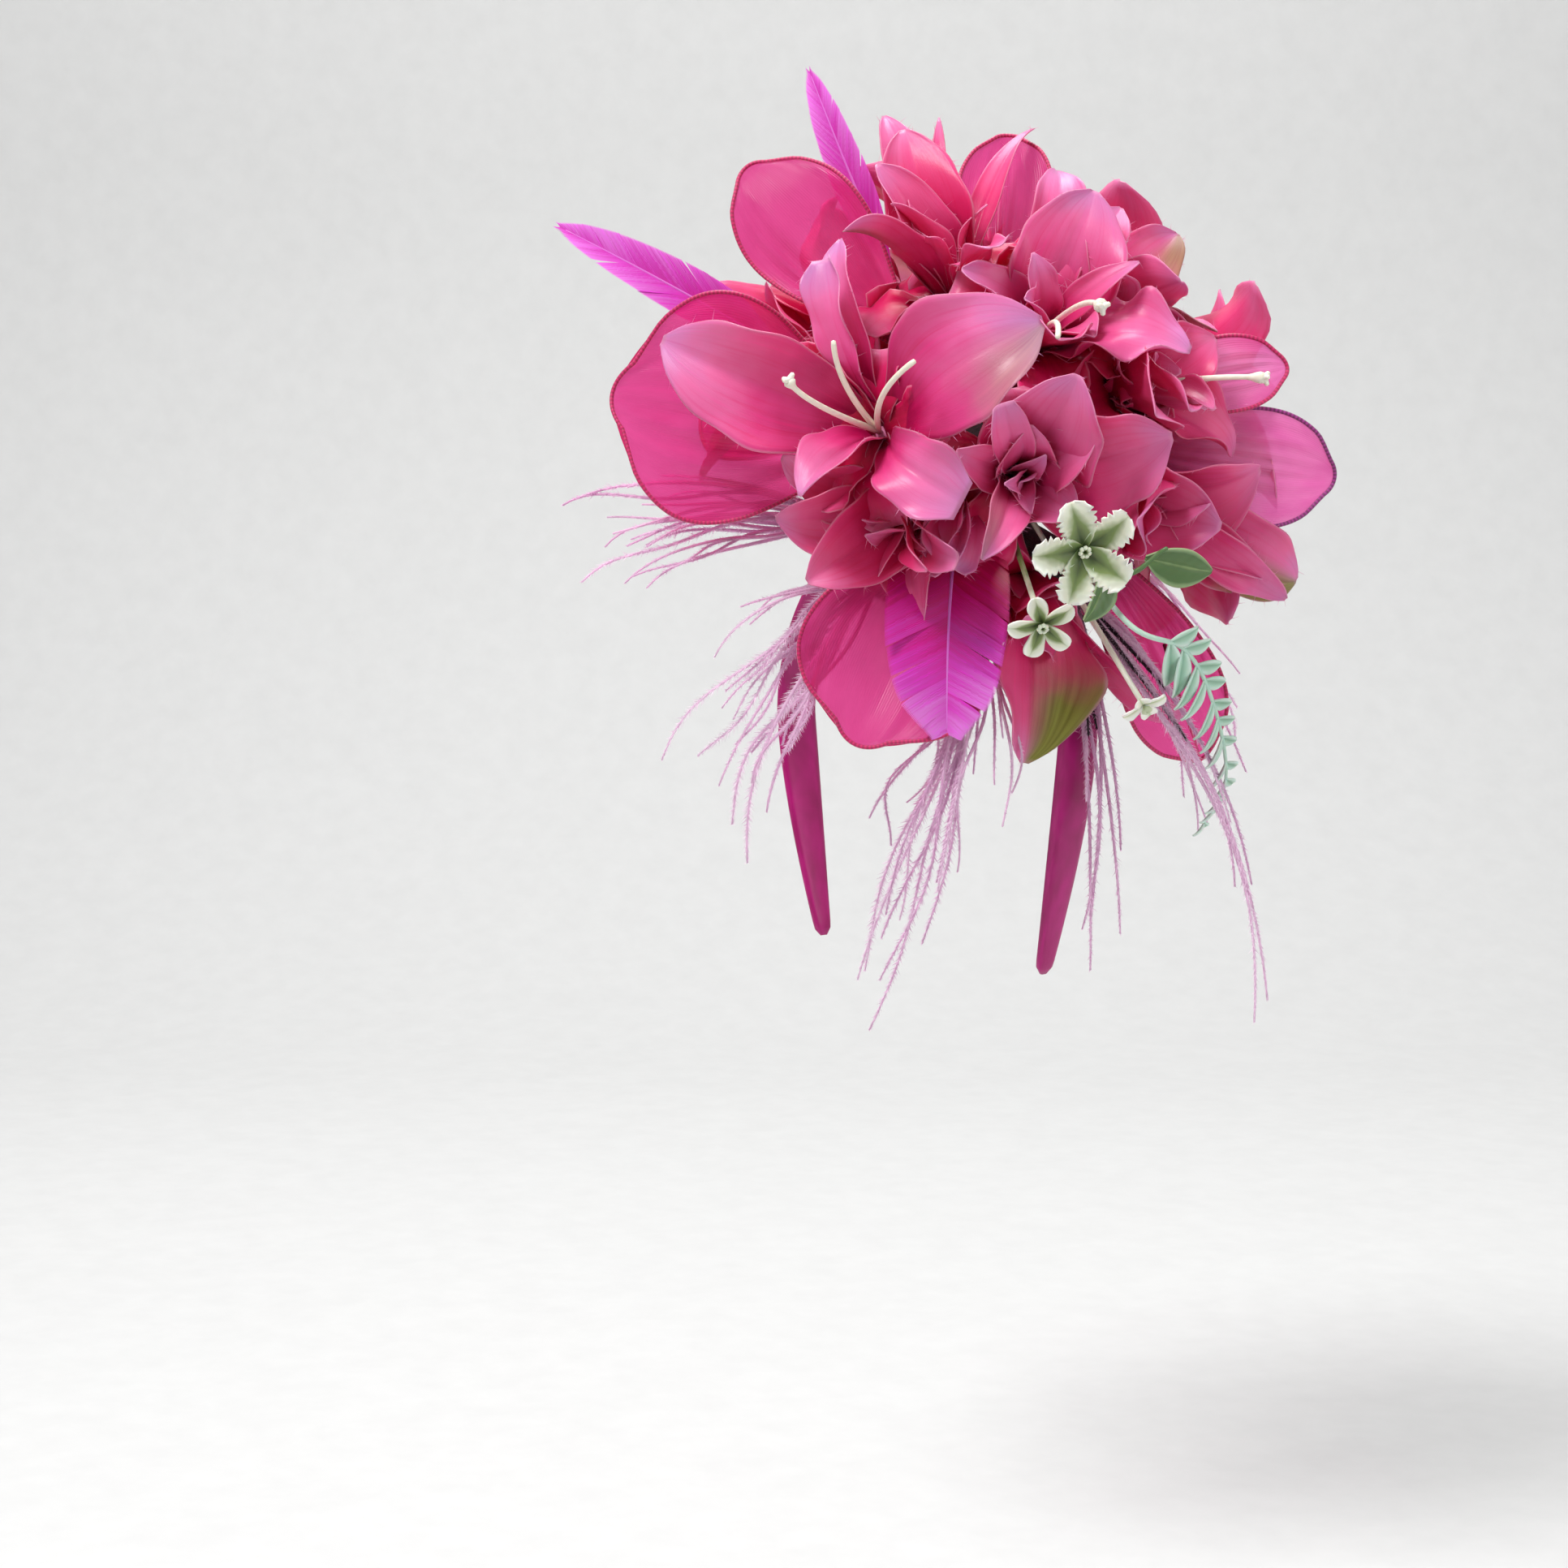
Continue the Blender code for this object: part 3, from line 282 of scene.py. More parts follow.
# Sprigs: the spots that the stem passes, from its root on the mound outwards
SPRIG_STEMS = {
    "leaf_pair": ((80, -30, 0.25), (76, -27, 0.78), (82, -19, 0.88)),
    "trailing_sprig": (
        (88, -36, 0.25), (76, -30, 0.84), (90, -33, 0.94),
        (101, -41, 1.06), (109, -49, 1.22), (112, -56, 1.30),
    ),
}
LEAF_PAIRS = 4
LEAVES = [
    # sprig, share along the stem, side, length and width as shares of LEAF_LENGTH and LEAF_WIDTH
    ("leaf_pair", 0.72, -1, 1.0, 0.9),
    ("leaf_pair", 0.90, 1, 1.1, 1.0),
]
LEAVES += [("trailing_sprig", 0.52 + 0.08 * pair, 1, 0.80 - 0.09 * pair, 0.42) for pair in range(LEAF_PAIRS)]
LEAVES += [("trailing_sprig", 0.49 + 0.08 * pair, -1, 0.44 - 0.03 * pair, 0.38) for pair in range(LEAF_PAIRS)]

# Small flowers of greenery: stem root, head, and the lobes round it
SMALL_FLOWERS = (
    # name, root bearing, root rise, bearing, rise, reach, lobes, length, width
    ("variegated_sprig", 66, -22, 63, -18, 0.92, 5, 0.95, 1.10),
    ("lobed_flower", 54, -36, 57, -32, 0.92, 5, 0.62, 0.52),
    ("white_bud", 90, -52, 86, -47, 0.99, 4, 0.42, 0.46),
)

# %% [markdown]
# ## Places on the head and the heart of the bouquet
#
# The pad is part of a sphere round the head, and the mound on it is half a ball. Two small functions turn
# a bearing, a rise and a reach into a point.

# %% Find places
def bearing_vector(bearing, rise):
    """The unit vector that points along a bearing and a rise, both in degrees."""
    turn, lift = math.radians(bearing), math.radians(rise)
    return Vector((math.sin(turn) * math.cos(lift), -math.cos(turn) * math.cos(lift), math.sin(lift)))


HEAD_CENTRE = Vector((0, 0, -BAND_INNER_RADIUS))
PAD_AXIS = bearing_vector(PAD_BEARING, PAD_RISE)
PAD_INNER_RADIUS = BAND_INNER_RADIUS + BAND_THICKNESS + PAD_SEAT_GAP
PAD_OUTER_RADIUS = PAD_INNER_RADIUS + PAD_THICKNESS
PAD_RIM_ANGLE = PAD_DIAMETER / 2 / PAD_OUTER_RADIUS
HEART = HEAD_CENTRE + PAD_AXIS * (PAD_OUTER_RADIUS + MOUND_RADIUS - CLOTH_THICKNESS)


def spot(bearing, rise, reach):
    """A place given from the heart, its reach as a share of the bouquet's radius."""
    return HEART + bearing_vector(bearing, rise) * (reach * BOUQUET_RADIUS)


def on_mound(bearing, rise):
    """A place just clear of the mound's surface."""
    return HEART + bearing_vector(bearing, rise) * (MOUND_RADIUS + GAP)


def read_table(table, share):
    """Reads a table of (share, value) rows with a smooth curve through them."""
    places = [row[0] for row in table]
    values = [row[1] for row in table]
    last = len(table) - 1
    index = min(max(int(np.searchsorted(places, share)) - 1, 0), last - 1)
    span = places[index + 1] - places[index]
    mix = (share - places[index]) / span

    def slope(at):
        before, after = max(at - 1, 0), min(at + 1, last)
        return (values[after] - values[before]) / (places[after] - places[before]) * span

    square, cube = mix * mix, mix ** 3
    return (
        (2 * cube - 3 * square + 1) * values[index] + (cube - 2 * square + mix) * slope(index)
        + (3 * square - 2 * cube) * values[index + 1] + (cube - square) * slope(index + 1)
    )

# %% [markdown]
# ## Trying a stem for room
#
# A petal's coarse form is a bowed, cupped sheet of a few squares. The Bouquet keeps every form that is
# already in place. A new one is swung, lifted or shortened by the smallest step that clears the others,
# as a milliner bends a wire until the petal sits freely.

# %% Coarse forms and the bouquet
def solid_of(work):
    """The points and faces of a bmesh, which is then freed."""
    bmesh.ops.recalc_face_normals(work, faces=work.faces)
    work.verts.index_update()
    points = [vert.co.copy() for vert in work.verts]
    faces = [[vert.index for vert in face.verts] for face in work.faces]
    work.free()
    return points, faces


def sheet(plan, steps, margin=0.0, start=0.0):
    """A thin cloth sheet whose middle line bows from base to tip and whose section is an arc."""
    forward = (plan["tip"] - plan["base"]).normalized()
    base = plan["base"] - forward * margin
    chord = plan["tip"] + forward * margin - base
    facing = (plan["facing"] - forward * plan["facing"].dot(forward)).normalized()
    side = forward.cross(facing)
    thickness = CLOTH_THICKNESS + 2 * margin
    bow = 4 * plan["bend"] * chord.length
    cup = plan["cup"]
    work = bmesh.new()
    bmesh.ops.create_grid(work, x_segments=steps[0], y_segments=steps[1], size=1.0)
    for vert in work.verts:
        share, across = start + (1 - start) * (vert.co.x + 1) / 2, vert.co.y
        ahead = (chord + facing * (bow * (1 - 2 * share))).normalized()
        turn = Matrix.Rotation(math.radians(plan["twist"]) * share, 3, ahead)
        half = plan["width"] / 2 * read_table(OUTLINES[plan["outline"]], share) + margin
        sideways = turn @ side * (half * math.sin(cup * across) / cup)
        upwards = turn @ side.cross(ahead) * (half * (1 - math.cos(cup * across)) / cup)
        vert.co = base + chord * share + facing * (bow * share * (1 - share)) + sideways + upwards
    work.normal_update()
    for vert, normal in [(vert, vert.normal.copy()) for vert in work.verts]:
        vert.co += normal * thickness / 2
    bmesh.ops.solidify(work, geom=work.faces[:], thickness=thickness)
    return solid_of(work)


def welded_solid(mesh):
    """The solid of a mesh whose loose caps are welded to its sides."""
    work = bmesh.new()
    work.from_mesh(mesh)
    bmesh.ops.remove_doubles(work, verts=work.verts, dist=1e-6)
    return solid_of(work)


def rod(points, radii, margin=0.0):
    """A tapered wire of four sides through a few points, closed at both ends."""
    curve = bpy.data.curves.new("rod", "CURVE")
    curve.dimensions = "3D"
    curve.bevel_depth = 1.0
    curve.bevel_resolution = 0
    curve.use_fill_caps = True
    spline = curve.splines.new("POLY")
    spline.points.add(len(points) - 1)
    for knot, place, radius in zip(spline.points, points, radii):
        knot.co = (*place, 1)
        knot.radius = radius + margin
    holder = bpy.data.objects.new("rod", curve)
    bpy.context.scene.collection.objects.link(holder)
    mesh = bpy.data.meshes.new_from_object(holder.evaluated_get(bpy.context.evaluated_depsgraph_get()))
    solid = welded_solid(mesh)
    bpy.data.objects.remove(holder, do_unlink=True)
    bpy.data.curves.remove(curve)
    bpy.data.meshes.remove(mesh)
    return solid


def ball(centre, radius, margin=0.0):
    work = bmesh.new()
    place = Matrix.Translation(centre)
    bmesh.ops.create_uvsphere(work, u_segments=6, v_segments=4, radius=radius + margin, matrix=place)
    return solid_of(work)


def bowed(start, end, bow, outward, count=WIRE_POINTS):
    """Points along a parabola from start to end that bows by a share of its length."""
    chord = end - start
    rise = outward * (4 * bow * chord.length)
    return [start + chord * share + rise * (share * (1 - share)) for share in np.linspace(0, 1, count)]


class Bouquet:
    """Keeps each piece laid so far, so that the next one can be laid clear of the others."""

    def __init__(self):
        self.solids, self.skins, self.blades, self.heads = {}, {}, {}, {}

    @staticmethod
    def row(solid):
        points, faces = solid
        return np.min(points, axis=0), np.max(points, axis=0), BVHTree.FromPolygons(points, faces)

    def crosses(self, solid, rows):
        low, high = np.min(solid[0], axis=0), np.max(solid[0], axis=0)
        near = [tree for least, most, tree in rows if (low <= most).all() and (high >= least).all()]
        tree = BVHTree.FromPolygons(*solid) if near else None
        return any(tree.overlap(other) for other in near)

    def is_clear(self, node, grown, blade):
        """True if no grown solid meets another node and the blade meets no blade of its own node."""
        others = [row for other, rows in self.skins.items() if other != node for row in rows]
        if any(self.crosses(solid, others) for solid in grown):
            return False
        return blade is None or not self.crosses(blade, self.blades.get(node, []))

    def lay(self, node, solid, blade=None):
        self.solids.setdefault(node, []).append(solid)
        self.skins.setdefault(node, []).append(self.row(solid))
        if blade:
            self.blades.setdefault(node, []).append(self.row(blade))

    def settle(self, node, make, blade_of=None):
        """Lays solids at the first of several moves, the smallest first, that is clear of the rest."""
        strict = [(move, True) for move in MOVES] if blade_of else []
        for move, apart in strict + [(move, False) for move in MOVES]:
            blade = blade_of(move) if blade_of else None
            if self.is_clear(node, make(move, GAP), blade if apart else None):
                for solid in make(move, 0.0):
                    self.lay(node, solid, blade)
                    blade = None
                return move
        print("no clear place left in", node)


# How a piece may be moved: degrees round its axis, degrees towards it, and its length
MOVES = sorted(
    (
        (swing, lift, share)
        for swing in (0, 8, -8, 16, -16, 24, -24, 32, -32)
        for lift in (0, 8, -8, 16, -16, 24, 32, 40)
        for share in (1, 0.88, 0.76, 0.64, 0.52, 0.42)
    ),
    key=lambda move: abs(move[0]) + abs(move[1]) + 90 * (1 - move[2]),
)


def moved(places, axis, move):
    """The places after the first, swung round an axis through it, lifted to it and drawn in."""
    swing, lift, share = move
    root = places[0]
    turn = Matrix.Rotation(math.radians(swing), 3, axis)
    across = (turn @ (places[-1] - root)).cross(axis)
    if across.length > 1e-9:
        turn = Matrix.Rotation(math.radians(lift), 3, across.normalized()) @ turn
    return [root + turn @ (place - root) * share for place in places]


def petal_plan(lily, tip, width, outline, bend, cup, twist):
    """A lily petal that starts inside the throat on the side where its tip lies."""
    axis, throat = bearing_vector(*lily[1:3]), spot(*lily[1:4])
    aside = (tip - throat) - axis * (tip - throat).dot(axis)
    aside = aside.normalized() if aside.length > 1e-6 else axis.orthogonal().normalized()
    base = throat - axis * (THROAT_RADIUS * ROOT_DEPTH) + aside * (THROAT_RADIUS * ROOT_ASIDE)
    return {
        "base": base, "tip": tip, "facing": axis - aside * 0.2, "width": PETAL_WIDTH * width,
        "outline": outline, "bend": bend, "cup": cup, "twist": twist,
    }


def on_pad(bearing, share, lift):
    """A place over the pad's top: towards a bearing, at a share of the way to its rim."""
    level = bearing_vector(bearing, 0)
    along = (level - PAD_AXIS * level.dot(PAD_AXIS)).normalized()
    angle = PAD_RIM_ANGLE * share
    return HEAD_CENTRE + (PAD_AXIS * math.cos(angle) + along * math.sin(angle)) * (PAD_OUTER_RADIUS + lift)


def along_line(places, share):
    """The place and direction at a share of the way along a broken line."""
    lengths = [(b - a).length for a, b in zip(places, places[1:])]
    left = share * sum(lengths)
    for first, second, length in zip(places, places[1:], lengths):
        if left <= length or second is places[-1]:
            return first.lerp(second, min(left / length, 1)), (second - first).normalized()
        left -= length


def leaf_plan(base, ahead, facing, length, width):
    return {
        "base": base, "tip": base + ahead * length, "facing": facing, "width": width,
        "outline": "leaf", "bend": LEAF_BEND, "cup": LEAF_CUP, "twist": 0,
    }

# %% [markdown]
# ## Laying the stems
#
# The order matters: what shows most goes in first, and the petals at the back take the room that is left.
# Every line below keeps the plan that came out, for the fine piece that is cut to it later.

# %% Lay every stem in the bouquet's order
LILY = {lily[0]: lily for lily in LILIES}
sheets = {}
wires = {}


def place_sheet(node, plan, axis, squares, own_clear_from=None):
    """Tries a sheet for room and keeps the plan it ends with."""
    def at(move):
        base, tip = moved([plan["base"], plan["tip"]], axis, move)
        return {**plan, "base": base, "tip": tip}

    def blade_of(move):
        return sheet(at(move), squares, GAP, own_clear_from)

    move = bouquet.settle(
        node, lambda move, margin: [sheet(at(move), squares, margin)], blade_of if own_clear_from else None
    )
    if move:
        sheets.setdefault(node, []).append(at(move))


def place_shown_petals(rows):
    for name, bearing, rise, reach, *form in rows:
        plan = petal_plan(LILY[name], spot(bearing, rise, reach), *form)
        place_sheet("lily_" + name, plan, bearing_vector(*LILY[name][1:3]), PETAL_GRID, PETAL_CLEAR_FROM)


def place_plain_petals():
    shown = {row[0] for row in SHOWN_PETALS}
    for place, lily in enumerate(lily for lily in LILIES if lily[0] not in shown):
        axis, throat = bearing_vector(*lily[1:3]), spot(*lily[1:4])
        upright = axis.orthogonal().normalized()
        for turn in range(PLAIN_PETALS):
            angle = 2 * math.pi * (turn + PLAIN_STAGGER * place) / PLAIN_PETALS
            around = Matrix.Rotation(angle, 3, axis) @ upright
            opened = math.radians(PLAIN_OPEN + (PLAIN_SPREAD if turn % 2 else 0))
            ahead = axis * math.cos(opened) + around * math.sin(opened)
            tip = throat + ahead * (PLAIN_LENGTH * BOUQUET_RADIUS)
            plan = petal_plan(lily, tip, PLAIN_WIDTH, "lily", PLAIN_BEND, PLAIN_CUP, 0)
            place_sheet("lily_" + lily[0], plan, axis, PLAIN_GRID, PETAL_CLEAR_FROM)


def place_wide_sheets(rows, prefix, full_width, squares):
    for name, root_bearing, root_rise, *tip, width, face_bearing, face_rise, bend, outline in rows:
        plan = {
            "base": on_mound(root_bearing, root_rise), "tip": spot(*tip),
            "facing": bearing_vector(face_bearing, face_rise), "width": full_width * width,
            "outline": outline, "bend": bend, "cup": SHEER_CUP, "twist": 0,
        }
        place_sheet(prefix + name, plan, bearing_vector(root_bearing, root_rise), squares)


def place_wire(node, start, end, bow, outward, radii, **facts):
    """Tries a bowed wire for room and keeps its start, end and bow."""
    def make(move, margin):
        first, last = moved([start, end], outward, move)
        return [rod(bowed(first, last, bow, outward), radii, margin)]

    move = bouquet.settle(node, make)
    if move:
        first, last = moved([start, end], outward, move)
        laid = {"start": first, "end": last, "bow": bow, "outward": outward, **facts}
        wires.setdefault(node, []).append(laid)


def place_pistils():
    for name, bearing, rise, reach, bow, bulb in PISTILS:
        axis, throat = bearing_vector(*LILY[name][1:3]), spot(*LILY[name][1:4])
        foot = throat + axis * (RECEPTACLE + GAP + STYLE_RADIUS * 0.5)
        radii = [STYLE_RADIUS] * (WIRE_POINTS - 1) + [STYLE_RADIUS * bulb]
        place_wire("pistil_" + name, foot, spot(bearing, rise, reach), bow, axis, radii, bulb=bulb)


def place_small_flowers():
    for name, root_bearing, root_rise, bearing, rise, reach, lobes, length, width in SMALL_FLOWERS:
        axis = bearing_vector(root_bearing, root_rise)
        places = [on_mound(root_bearing, root_rise), spot(bearing, rise, reach)]

        def lobe_plans(centre):
            facing = (centre - HEART).normalized()
            upright = facing.orthogonal().normalized()
            for turn in range(lobes):
                around = Matrix.Rotation(2 * math.pi * turn / lobes, 3, facing) @ upright
                ahead = (around + facing * (0.1 + 0.08 * turn)).normalized()
                yield leaf_plan(centre, ahead, facing, LEAF_LENGTH * length, LEAF_WIDTH * width)

        def make(move, margin):
            start, centre = moved(places, axis, move)
            solids = [rod([start, start.lerp(centre, 0.5), centre], [STEM_RADIUS] * 3, margin)]
            solids.append(ball(centre, STEM_RADIUS * 2.4, margin))
            return solids + [sheet(plan, SMALL_LEAF_GRID, margin) for plan in lobe_plans(centre)]

        move = bouquet.settle(name, make)
        start, centre = moved(places, axis, move)
        wires[name] = [{"start": start, "end": centre, "bow": 0, "outward": axis}]
        sheets[name] = list(lobe_plans(centre))


def place_sprigs():
    for name, spots in SPRIG_STEMS.items():
        axis = bearing_vector(*spots[0][:2])
        places = [spot(*row) for row in spots]

        def leaf_plans(stem):
            for _, share, side, length, width in [row for row in LEAVES if row[0] == name]:
                base, ahead = along_line(stem, share)
                facing = (base - HEART).normalized()
                lateral = ahead.cross(facing).normalized() * side
                lean = (ahead * LEAF_SPREAD + lateral).normalized()
                yield leaf_plan(base, lean, facing, LEAF_LENGTH * length, LEAF_WIDTH * width)

        def make(move, margin):
            stem = moved(places, axis, move)
            radii = np.linspace(STEM_RADIUS * 1.3, STEM_RADIUS * 0.7, len(stem))
            squares = LEAF_GRID if name == "leaf_pair" else SMALL_LEAF_GRID
            return [rod(stem, radii, margin)] + [sheet(plan, squares, margin) for plan in leaf_plans(stem)]

        stem = moved(places, axis, bouquet.settle(name, make))
        wires[name] = [{"stem": stem}]
        sheets[name] = list(leaf_plans(stem))


def place_plume_heads():
    for name, place in PLUME_ROOTS.items():
        for drop in HEAD_DROPS:
            centre = on_pad(*place, GAP + PLUME_HEAD_RADIUS - drop)
            if bouquet.is_clear("plume_" + name, [ball(centre, PLUME_HEAD_RADIUS, GAP)], None):
                break
        bouquet.lay("plume_" + name, ball(centre, PLUME_HEAD_RADIUS))
        bouquet.heads[name] = centre


def place_locks():
    radii = np.linspace(LOCK_RADIUS, LOCK_RADIUS * LOCK_TIP, WIRE_POINTS)
    for name, head in bouquet.heads.items():
        outward = (head - HEAD_CENTRE).normalized()
        for _, bearing, rise, reach, bow in [row for row in LOCKS if row[0] == name]:
            place_wire("plume_" + name, head, spot(bearing, rise, reach), bow, outward, radii)


def frame_solid(node):
    """The points and faces of a solid of the frame."""
    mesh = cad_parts[node].data
    return [vert.co.copy() for vert in mesh.vertices], [list(face.vertices) for face in mesh.polygons]


bouquet = Bouquet()
bouquet.lay("headband", frame_solid("headband"))
bouquet.lay("base_pad", frame_solid("base_pad"))
for lily_name, lily_bearing, lily_rise, lily_reach in LILIES:
    lily_axis = bearing_vector(lily_bearing, lily_rise)
    lily_throat = spot(lily_bearing, lily_rise, lily_reach)
    lily_root = on_mound(lily_bearing, lily_rise)
    core = [lily_root, lily_root.lerp(lily_throat, 0.45), lily_throat, lily_throat + lily_axis * RECEPTACLE]
    bouquet.lay("lily_" + lily_name, rod(core, (STALK_RADIUS, STALK_RADIUS, THROAT_RADIUS, STYLE_RADIUS)))
    wires["lily_" + lily_name] = [{"stem": core}]
place_plume_heads()
place_shown_petals([row for row in SHOWN_PETALS if row[0] == "front"])
place_wide_sheets(FEATHERS, "goose_feather_", FEATHER_WIDTH, FEATHER_GRID)
place_wide_sheets(SHEER_PETALS, "organza_", SHEER_WIDTH, SHEER_GRID)
place_pistils()
place_small_flowers()
place_sprigs()
place_shown_petals([row for row in SHOWN_PETALS if row[0] != "front"])
place_plain_petals()
place_locks()
print("Laid", sum(map(len, sheets.values())), "sheets and", sum(map(len, wires.values())), "wires")

# %% [markdown]
# ## Cutting fine cloth
#
# A moulded satin petal keeps a crease down its middle, its cut edge waves and its tip rolls back. Organza
# has no crease, but gathers run out from its root like the ribs of a fan. One function walks along the
# plan's middle line and places each row of points across it.

# %% Cut a sheet of cloth to its plan
SATIN_THICKNESS = 0.0004
LEAF_THICKNESS = 0.0006
FLAT = {
    "crease": 0, "ruffle": 0, "waves": 2, "phase": 0, "roll": 0, "gathers": 0,
    "buckle": 0, "nibble": 0, "cap": 0, "scallop": 0, "lobes": 0,
}


def station(plan, share):
    """At a share along a plan: the middle, the way ahead, sideways, upwards and half the width."""
    chord = plan["tip"] - plan["base"]
    forward = chord.normalized()
    facing = (plan["facing"] - forward * plan["facing"].dot(forward)).normalized()
    bow = 4 * plan["bend"] * chord.length
    ahead = (chord + facing * (bow * (1 - 2 * share))).normalized()
    turn = Matrix.Rotation(math.radians(plan["twist"]) * share, 3, ahead)
    side = turn @ forward.cross(facing)
    middle = plan["base"] + chord * share + facing * (bow * share * (1 - share))
    half = plan["width"] / 2 * max(read_table(OUTLINES[plan["outline"]], share), 0.03)
    return middle, ahead, side, side.cross(ahead).normalized(), half


def standing_off(share, across, form):
    """How far a spot stands off the smooth sheet, as a share of the half width there."""
    open_part = min(share * 2.5, 1)
    crease = -form["crease"] * math.exp(-(across / 0.13) ** 2) * min(1, 6 * (1 - share))
    wave_at = 2 * math.pi * (form["waves"] * share + form["phase"]) + 1.9 * across
    wave = form["ruffle"] * abs(across) ** 2.2 * math.sin(wave_at) * open_part
    inside = (1 - share ** 3) * (1 - across ** 4)
    fan = form["gathers"] * math.sin(across * 13 + 5 * math.sin(3 * across + 9 * form["phase"])) * inside
    lengthwise = math.sin(5.3 * share + 7 * form["phase"])
    crosswise = math.sin(2.7 * across + 11 * form["phase"])
    return crease + wave + fan + form["buckle"] * lengthwise * crosswise


def cloth(plan, rows, columns, **form):
    """A grid of places for a fine sheet, with the share along and across at each."""
    form = {**FLAT, **form}
    cup, length = plan["cup"], (plan["tip"] - plan["base"]).length
    shares, acrosses = np.linspace(0, 1, rows + 1), np.linspace(-1, 1, columns + 1)
    places = np.zeros((rows + 1, columns + 1, 3))
    for row, share in enumerate(shares):
        middle, ahead, sideways, upwards, half = station(plan, share)
        rolled = -form["roll"] * length * max((share - 0.7) / 0.3, 0) ** 2
        for column, across in enumerate(acrosses):
            bite = math.sin(23 * share + 3 * across + 40 * form["phase"])
            nibbled = 1 + form["nibble"] * bite * abs(across) ** 4
            notch = (1 - abs(math.sin(form["lobes"] * math.pi * share))) * min(max(share - 0.25, 0) * 4, 1)
            scallop = 1 - form["scallop"] * notch * across ** 2
            capped = half * form["cap"] * share ** 6 * (1 - across ** 2)
            out = half * nibbled * scallop * math.sin(cup * across) / cup
            lift = half * ((1 - math.cos(cup * across)) / cup + standing_off(share, across, form)) + rolled
            places[row, column] = middle + sideways * out + upwards * lift + ahead * capped
    return places, *np.meshgrid(shares, acrosses, indexing="ij")


# %% [markdown]
# ## Points, faces and marks
#
# A piece collects many small forms in one mesh. Each point also keeps marks that the dye reads: how far
# it lies along and across its petal, the petal's own tone, and a tint for the green tips. The UV map
# holds real metres along and across the cloth, so a weave has its true scale everywhere.

# %% Collect forms into a piece
MARKS = ("along", "across", "tone", "tint")


class Piece:
    def __init__(self):
        self.points, self.faces, self.marks, self.count = [], [], [], 0

    def add(self, points, faces, u=0.0, v=0.0, **marks):
        """Adds a form's points and faces, with a mark for each point or one for all."""
        points = np.asarray(points, float).reshape(-1, 3)
        columns = [marks.get(mark, 0.0) for mark in MARKS] + [u, v]
        columns = [np.broadcast_to(np.asarray(column, float).ravel(), len(points)) for column in columns]
        self.faces += [[corner + self.count for corner in face] for face in faces]
        self.points.append(points)
        self.marks.append(np.stack(columns, axis=1))
        self.count += len(points)

    def make(self, name, finish, slot, *stands_for):
        """The finished object, which rides on the frame in the place of its solids."""
        mesh = bpy.data.meshes.new(name)
        mesh.from_pydata(np.concatenate(self.points).tolist(), [], self.faces)
        marks = np.concatenate(self.marks)
        for column, mark in enumerate(MARKS):
            mesh.attributes.new(mark, "FLOAT", "POINT").data.foreach_set("value", marks[:, column])
        corners = np.zeros(len(mesh.loops), np.int32)
        mesh.loops.foreach_get("vertex_index", corners)
        mesh.uv_layers.new(name="cloth").data.foreach_set("uv", marks[corners, 4:6].ravel())
        mesh.shade_smooth()
        mesh.materials.append(finish)
        made = bpy.data.objects.new(name, mesh)
        bpy.context.scene.collection.objects.link(made)
        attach(made, "root")
        if stands_for:
            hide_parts(*stands_for)
        print(f"{name}: {len(mesh.polygons)} faces")
        return made


def squares(rows, columns):
    """The faces between the rows and columns of a grid of points."""
    index = np.arange(rows * columns).reshape(rows, columns)
    corners = (index[:-1, :-1], index[1:, :-1], index[1:, 1:], index[:-1, 1:])
    return np.stack([corner.ravel() for corner in corners], axis=1)


def add_sheet(piece, plan, grid, thickness, **marks):
    """Adds a cut sheet: one layer, or two with a rim round them where it has a thickness."""
    places, along, across = grid
    rows, columns = along.shape
    length = (plan["tip"] - plan["base"]).length
    u, v = along * length, across * plan["width"] / 2
    faces = squares(rows, columns)
    if not thickness:
        piece.add(places, faces.tolist(), u=u, v=v, along=along, across=across, **marks)
        return
    normal = np.cross(np.gradient(places, axis=0), np.gradient(places, axis=1))
    normal /= np.linalg.norm(normal, axis=2, keepdims=True) + 1e-12
    index = np.arange(rows * columns).reshape(rows, columns)
    ring = np.concatenate([index[0, :], index[1:, -1], index[-1, -2::-1], index[-2:0:-1, 0]])
    after, below = np.roll(ring, -1), rows * columns
    rim = np.stack([ring, after, after + below, ring + below], axis=1)
    faces = np.concatenate([faces, faces[:, ::-1] + below, rim]).tolist()
    layers = np.concatenate([(places + normal * thickness / 2).reshape(-1, 3),
                             (places - normal * thickness / 2).reshape(-1, 3)])
    both = {name: np.tile(values.ravel(), 2) for name, values in
            {"u": u, "v": v, "along": along, "across": across}.items()}
    piece.add(layers, faces, **both, **marks)


def smooth_path(places, count):
    """Many points on a smooth line through a few places."""
    places = [Vector(place) for place in places]
    places = [places[0] * 2 - places[1], *places, places[-1] * 2 - places[-2]]
    spans = len(places) - 3
    path = []
    for share in np.linspace(0, spans, count):
        span = min(int(share), spans - 1)
        mix = share - span
        before, first, second, after = places[span:span + 4]
        path.append(
            first + (second - before) * (mix / 2)
            + (before * 2 - first * 5 + second * 4 - after) * (mix ** 2 / 2)
            + (first * 3 - before - second * 3 + after) * (mix ** 3 / 2)
        )
    return np.array([tuple(place) for place in path])


def bowed_path(wire, count):
    """Many points on the parabola that a laid wire keeps."""
    path = bowed(wire["start"], wire["end"], wire["bow"], wire["outward"], count)
    return np.array([tuple(place) for place in path])


